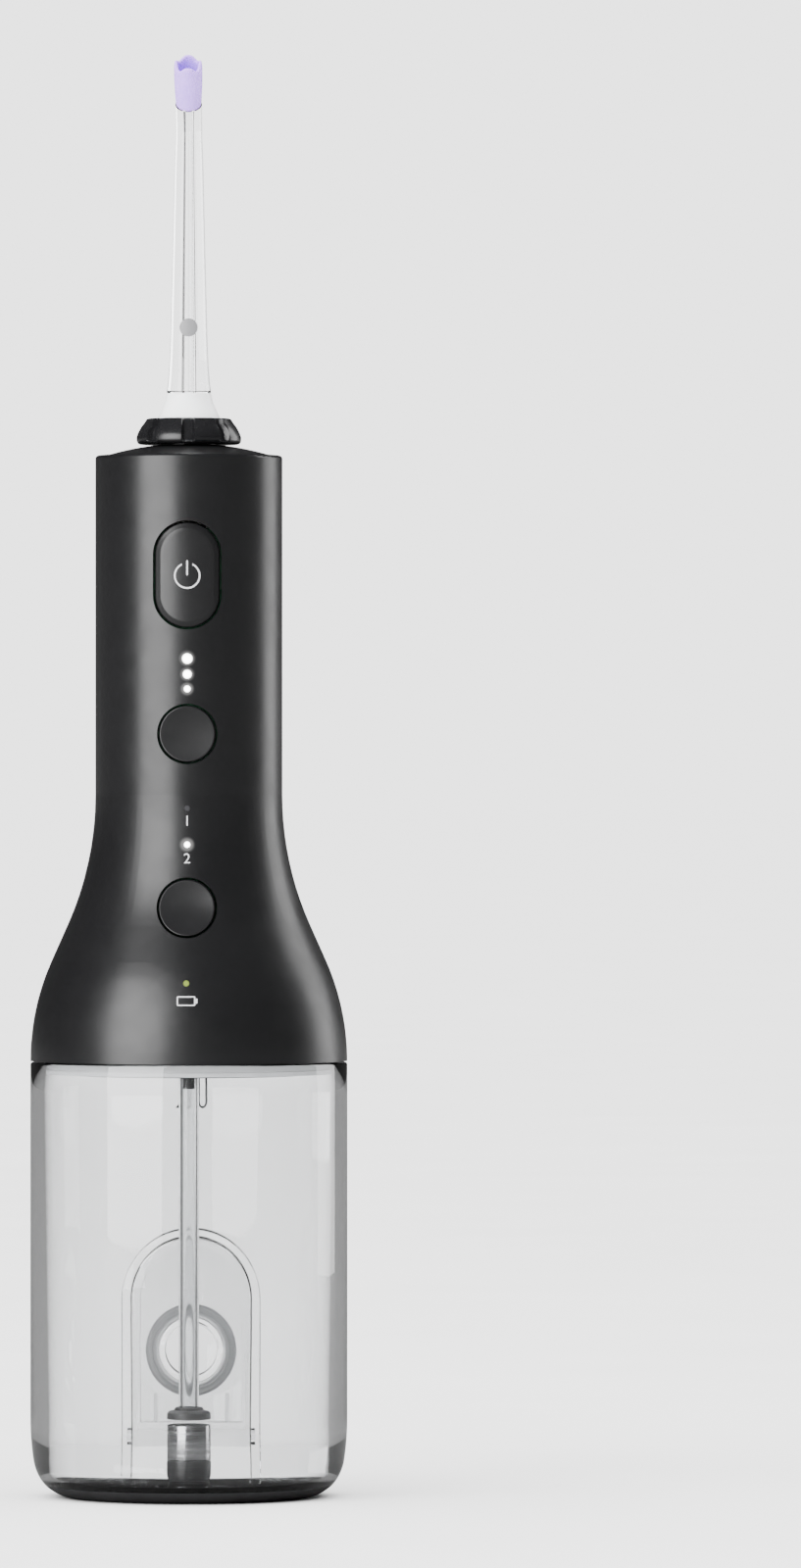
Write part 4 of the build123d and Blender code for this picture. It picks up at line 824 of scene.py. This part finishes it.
def addBadge():
    v = badgeValues
    rows = [(0.0001, 0.05)] + [(v["radius"] * i / 8, 0.05) for i in range(1, 9)] + [(v["radius"], 0.0)]
    disc = turnPiece("badgeDisc", rows, steps=64)
    laySurface(disc, v["centre"], lambda x, z: sqrt(v["tube"] ** 2 - x * x))
    finishPiece(disc, badgeGrey, "nozzle")


addBadge()
print("buttons and marks made")


# reservoir: turned clear wall, with an arched pocket at its back for the fill door
tankValues = {
    "radius": 34.75, "top": 95.2, "mouth": 31.75, "floorRadius": 30.65, "floor": 3.4, "fillet": 4.0,
    "arc": 60.0, "arcAngle": 8.6, "corner": 10.5, "cornerAngle": 33.4, "lip": 2.5, "foot": 1.4, "rim": 1.8,
    "pocketHalf": 13.85, "pocketWall": 2.2, "pocketFace": 28.0, "pocketTop": 54.9,
    "hole": 8.7, "holeHeight": 29.8,
    "hinge": (29.7, 11.5), "soften": 0.45,
}


def tankOutside():
    v = tankValues
    side = radians(v["arcAngle"])
    whole = radians(v["arcAngle"] + v["cornerAngle"])
    start = v["lip"] + v["arc"] * sin(side) + v["corner"] * (sin(whole) - sin(side))
    points = [(v["radius"], start)]
    for i in range(1, 13):
        a = side * i / 12
        points.append((v["radius"] - v["arc"] * (1 - cos(a)), start - v["arc"] * sin(a)))
    r0, z0 = points[-1]
    for i in range(1, 15):
        a = side + (whole - side) * i / 14
        points.append((r0 - v["corner"] * (cos(side) - cos(a)), z0 - v["corner"] * (sin(a) - sin(side))))
    return points


def archPrism(name, half, low, top, near, far, steps=96):
    prism = roundedPrism(name, 2 * half, 2 * half, half, top - half, near, far, steps)
    for vertex in prism.data.vertices:
        if vertex.co.z < (top - half) * mm:
            vertex.co.z = low * mm
    selectOnly(prism)
    bpy.ops.object.mode_set(mode="EDIT")
    bpy.ops.mesh.select_all(action="SELECT")
    bpy.ops.mesh.remove_doubles(threshold=1e-7)
    bpy.ops.mesh.dissolve_limited(angle_limit=radians(0.5))
    bpy.ops.mesh.normals_make_consistent(inside=False)
    bpy.ops.object.mode_set(mode="OBJECT")
    return prism


def addReservoir():
    v = tankValues
    outside = tankOutside()
    footR, footZ = outside[-1]
    seat = footR - v["rim"]
    inner = arcPoints(
        (v["floorRadius"] + 0.02 - v["fillet"], v["floor"] + v["fillet"]), v["fillet"], -90, 0, 12,
    )
    outline = (
        [(v["mouth"], v["top"] - 0.3), (v["mouth"] + 0.3, v["top"]), (v["radius"] - 0.45, v["top"])]
        + [(v["radius"] - 0.13, v["top"] - 0.13), (v["radius"], v["top"] - 0.45)]
        + [(v["radius"], v["top"] - i * 7.0) for i in range(1, 11)]
        + outside
        + [(seat, footZ), (seat, v["foot"]), (0.0001, v["foot"]), (0.0001, v["floor"])]
        + inner
        + [(v["mouth"], v["top"] - 4.0)]
    )
    tank = turnPiece("clearReservoir", outline, steps=192, closed=True)
    frame = archPrism(
        "frame", v["pocketHalf"] + v["pocketWall"], v["floor"] - 1.0, v["pocketTop"] + v["pocketWall"],
        v["pocketFace"] - v["pocketWall"], v["radius"] + 2,
    )
    bevelEdges(frame, v["soften"], 3, 60)
    shell = turnPiece("wholeTank", [(0.0001, v["foot"] + 0.4)] + [(footR - 2.6, v["foot"] + 0.4)]
                      + [(r - 1.0, z) for r, z in reversed(outside)] + [(v["radius"] - 1.0, v["top"] - 1)]
                      + [(0.0001, v["top"] - 1)], steps=192)
    cutPiece(frame, [shell], "INTERSECT")
    cutPiece(tank, [frame], "UNION")
    pocket = archPrism(
        "pocket", v["pocketHalf"], v["floor"], v["pocketTop"], v["pocketFace"], v["radius"] + 3,
    )
    bevelEdges(pocket, v["soften"], 3, 60)
    hole = roundedPrism(
        "hole", 2 * v["hole"], 2 * v["hole"], v["hole"], v["holeHeight"], 10, v["pocketFace"] + 1, 96,
    )
    cutPiece(tank, [pocket, hole])
    finishPiece(tank, reservoirClear, "tank", ["reservoir"], angle=28)


doorValues = {
    "half": 13.5, "low": 10.4, "top": 54.55, "face": 28.3, "thick": 1.8, "sill": 3.2,
    "boss": 7.35, "bossWall": 1.4, "pin": 0.9, "reach": 14.8, "ribs": 8.2, "soften": 0.3,
}


def addDoor():
    v, tank = doorValues, tankValues
    door = archPrism("fillDoor", v["half"], v["low"], v["top"], v["face"], tank["radius"] + 2)
    whole = turnPiece(
        "round", [(0.0001, 5), (tank["radius"], 5), (tank["radius"], 60), (0.0001, 60)], steps=256,
    )
    cutPiece(door, [whole], "INTERSECT")
    hollow = archPrism(
        "hollow", v["half"] - v["thick"], v["low"] + v["sill"], v["top"] - v["thick"],
        v["face"] - 1, tank["radius"] + 2,
    )
    within = turnPiece(
        "within",
        [(0.0001, 5), (tank["radius"] - v["thick"], 5), (tank["radius"] - v["thick"], 60), (0.0001, 60)],
        steps=256,
    )
    cutPiece(hollow, [within], "INTERSECT")
    cutPiece(door, [hollow])
    bevelEdges(door, v["soften"], 2, 50)
    boss = roundedPrism(
        "boss", 2 * v["boss"], 2 * v["boss"], v["boss"], tank["holeHeight"], tank["pocketFace"] - 0.6,
        tank["radius"] - 1.2, 96,
    )
    bore = roundedPrism(
        "bore", 2 * (v["boss"] - v["bossWall"]), 2 * (v["boss"] - v["bossWall"]), v["boss"] - v["bossWall"],
        tank["holeHeight"], tank["pocketFace"] - 2, tank["radius"], 96,
    )
    cutPiece(boss, [bore])
    bevelEdges(boss, 0.2, 2, 50)
    pins = []
    for side in (-1, 1):
        bpy.ops.object.select_all(action="DESELECT")
        bpy.ops.mesh.primitive_cylinder_add(
            vertices=40, radius=v["pin"] * mm, depth=1.8 * mm, rotation=(0, radians(90), 0),
            location=(side * (v["reach"] - 0.9) * mm, tank["hinge"][0] * mm, tank["hinge"][1] * mm),
        )
        pins.append(bpy.context.active_object)
        settle(pins[-1])
    for part in [boss] + pins:
        cutPiece(door, [part], "UNION")
    finishPiece(door, doorClear, "door", ["fill_door"], angle=30)


def addDoorRibs():
    # frosted ribs that stiffen the door above its hinge
    v = doorValues
    ribs = []
    for side in (-1, 1):
        rib = roundedPrism("doorRib", 0.9, 6.6, 0.4, 16.6, v["face"] + 2.0, tankValues["radius"] - 3.2, 24)
        bevelEdges(rib, 0.12)
        for vertex in rib.data.vertices:
            vertex.co.x += side * v["ribs"] * mm
        ribs.append(rib)
    selectOnly(ribs[0])
    ribs[1].select_set(True)
    bpy.ops.object.join()
    finishPiece(ribs[0], frostedClear, "door")


def addDoorSeal():
    face = doorValues["face"]
    rows = [
        (7.42, 0.0), (7.42, 1.1), (7.6, 1.3), (7.95, 1.3),
        (8.25, 0.95), (8.25, 0.32), (8.5, 0.3), (8.75, 0.42),
    ]
    rows += [(9.0, 0.3), (9.5, 0.3), (9.75, 0.42), (10.0, 0.28), (10.35, 0.24), (10.4, 0.15), (10.4, 0.0)]
    seal = turnPiece("doorSeal", rows, steps=128, closed=True)
    laySurface(seal, tankValues["holeHeight"], lambda x, z: 0.01 - face)
    finishPiece(seal, sealGrey, "door", ["fill_door_seal"], angle=50)


addReservoir()
addDoor()
addDoorRibs()
addDoorSeal()


def addFillMark():
    v = markValues["fill"]
    back = tankValues["mouth"] - 0.35
    depth = lambda x, z: -sqrt(back * back - x * x) + 0.02
    line = roundedPrism("fillLine", v["width"], 0.35, 0.15, v["line"], -0.02, 0.02, 24)
    selectOnly(line)
    bpy.ops.object.mode_set(mode="EDIT")
    bpy.ops.mesh.select_all(action="SELECT")
    bpy.ops.mesh.quads_convert_to_tris()
    bpy.ops.object.mode_set(mode="OBJECT")
    for vertex in line.data.vertices:
        x, y, z = vertex.co / mm
        vertex.co.y = (y - depth(x, z)) * mm
    finishPiece(line, markDark, "tank")
    addText("fillNumber", v["text"], v["size"], v["centre"], markDark, "tank", depth)


addFillMark()
print("reservoir and door made")


# weight at the hose's end: collar, steel sleeve, filter
weightValues = {
    "collar": [(2.22, 17.8), (2.9, 17.8), (3.15, 17.55), (3.2, 17.2), (4.3, 16.95), (4.72, 16.6), (4.8, 16.2),
               (4.85, 15.3), (4.7, 15.2), (1.2, 15.2), (1.2, 16.2), (2.22, 16.3)],
    "sleeve": [(1.2, 9.35), (4.6, 9.35), (4.72, 9.45), (4.75, 9.6),
               (4.75, 14.95), (4.72, 15.1), (4.6, 15.2), (1.2, 15.2)],
    "filter": [(0.0001, 3.75), (4.2, 3.75), (4.42, 3.85), (4.46, 4.1), (4.6, 5.2), (4.74, 6.6), (4.82, 7.9),
               (4.85, 9.1), (4.78, 9.3), (1.2, 9.35), (1.2, 5.75), (0.0001, 5.75)],
}


def addWeight():
    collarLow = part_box("hose_collar")[0]
    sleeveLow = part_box("hose_weight")[0]
    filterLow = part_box("hose_filter")[0]
    places = {
        "collar": (collarLow.z / mm - 15.2, fittingBlack, "fitting_black", "hose_collar"),
        "sleeve": (sleeveLow.z / mm - 9.35, weightSteel, "weight_steel", "hose_weight"),
        "filter": (filterLow.z / mm - 3.75, filterBlack, "filter_black", "hose_filter"),
    }
    made = []
    for key, (lift, finish, slotName, replaced) in places.items():
        outline = [(r, z + lift) for r, z in weightValues[key]]
        piece = turnPiece("intake_" + key, outline, steps=96, closed=key != "filter")
        if key == "filter":
            selectOnly(piece)
        made.append(finishPiece(piece, finish, "intake", [replaced], angle=35))
    return made


weightPieces = addWeight()
print("weight made")


# intake hose: hangs straight under its weight
hoseValues = {"outer": 2.2, "bore": 1.35, "route": [92.0, 74.0, 55.0, 36.0, 17.65]}


def addHose():
    curve = bpy.data.curves.new("hoseRoute", "CURVE")
    curve.dimensions = "3D"
    spline = curve.splines.new("NURBS")
    spline.points.add(len(hoseValues["route"]) - 1)
    for point, height in zip(spline.points, hoseValues["route"]):
        point.co = (0, 0, height * mm, 1)
    spline.order_u = 3
    spline.use_endpoint_u = True
    spline.resolution_u = 8
    line = bpy.data.objects.new("hoseRoute", curve)
    bpy.context.scene.collection.objects.link(line)
    bpy.context.view_layer.update()
    followed = bpy.data.meshes.new_from_object(line)
    path = [tuple(v.co) for v in followed.vertices]
    bpy.data.objects.remove(line, do_unlink=True)
    outside = [(hoseValues["outer"], z / mm) for x, y, z in path]
    inside = [(hoseValues["bore"], z / mm) for x, y, z in reversed(path)]
    hose = turnPiece("intakeHose", outside + inside, steps=48, closed=True)
    smoothPiece(hose)
    hose.data.materials.append(hoseClear)
    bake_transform(hose)
    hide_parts("intake_hose")


addHose()
print("hose made")


# floor, sky and lights
lightValues = {
    "key": {"place": (-0.85, -1.05, 0.3), "size": (1.05, 1.5), "power": 50},
    "rim": {"place": (0.95, 0.55, 0.3), "size": (0.5, 1.3), "power": 8.5},
    "sunAngle": 110, "sunPower": 13.0, "skyCamera": 3.0, "skyOther": 0.07,
}


def addFloor():
    bpy.ops.object.select_all(action="DESELECT")
    bpy.ops.mesh.primitive_circle_add(vertices=96, radius=60, fill_type="NGON", location=(0, 0, -0.0001))
    floor = bpy.context.active_object
    floor.name = "paleFloor"
    finish, tree, shader = newFinish("paleFloor")
    pale = varyColour(tree, shader, objectNoise(tree, 3, 3), (0.8, 0.8, 0.8), (0.83, 0.83, 0.83))
    path = addNode(tree, "LightPath")
    reflected = addNode(tree, "Math", operation="GREATER_THAN")
    reflected.inputs[1].default_value = 0.5
    tree.links.new(path.outputs["Glossy Depth"], reflected.inputs[0])
    dim = addNode(tree, "Mix", data_type="RGBA")  # the floor is dimmer in reflections
    dim.inputs[7].default_value = (0.1, 0.1, 0.1, 1)
    tree.links.new(reflected.outputs[0], dim.inputs[0])
    tree.links.new(pale.outputs[2], dim.inputs[6])
    tree.links.new(dim.outputs[2], shader.inputs["Base Color"])
    varyRoughness(tree, shader, objectNoise(tree, 12, 2), 0.55, 0.65)
    shader.inputs["Specular IOR Level"].default_value = 0.2
    floor.data.materials.append(finish)


def aimLight(name, values, target=(0, 0, 0.15)):
    bpy.ops.object.light_add(type="AREA", location=values["place"])
    lamp = bpy.context.active_object
    lamp.name = name
    lamp.data.shape = "RECTANGLE"
    lamp.data.size, lamp.data.size_y = values["size"]
    lamp.data.energy = values["power"]
    towards = Vector(target) - Vector(values["place"])
    lamp.rotation_euler = towards.to_track_quat("-Z", "Y").to_euler()
    lamp.visible_camera = False


def addLights():
    aimLight("keyLight", lightValues["key"])
    aimLight("rimLight", lightValues["rim"])
    bpy.ops.object.light_add(type="SUN", location=(0, 0, 2), rotation=(radians(10), radians(-8), 0))
    sun = bpy.context.active_object
    sun.name = "skyLight"
    sun.data.energy = lightValues["sunPower"]
    sun.data.angle = radians(lightValues["sunAngle"])
    sun.visible_glossy = False
    world = bpy.data.worlds.new("studio")
    bpy.context.scene.world = world
    world.use_nodes = True
    tree = world.node_tree
    sky = tree.nodes["Background"]
    sky.inputs["Color"].default_value = (1, 1, 1, 1)
    path = tree.nodes.new("ShaderNodeLightPath")
    direct = tree.nodes.new("ShaderNodeMath")
    direct.operation = "LESS_THAN"  # nothing has been reflected on the way
    direct.inputs[1].default_value = 0.5
    tree.links.new(path.outputs["Glossy Depth"], direct.inputs[0])
    through = tree.nodes.new("ShaderNodeMath")
    through.operation = "MULTIPLY"
    tree.links.new(path.outputs["Is Transmission Ray"], through.inputs[0])
    tree.links.new(direct.outputs[0], through.inputs[1])
    seen = tree.nodes.new("ShaderNodeMath")
    seen.operation = "MAXIMUM"
    tree.links.new(path.outputs["Is Camera Ray"], seen.inputs[0])
    tree.links.new(through.outputs[0], seen.inputs[1])
    level = tree.nodes.new("ShaderNodeMapRange")
    level.inputs["To Min"].default_value = lightValues["skyOther"]
    level.inputs["To Max"].default_value = lightValues["skyCamera"]
    tree.links.new(seen.outputs[0], level.inputs["Value"])
    tree.links.new(level.outputs["Result"], sky.inputs["Strength"])


addFloor()
addLights()
print("stage set")
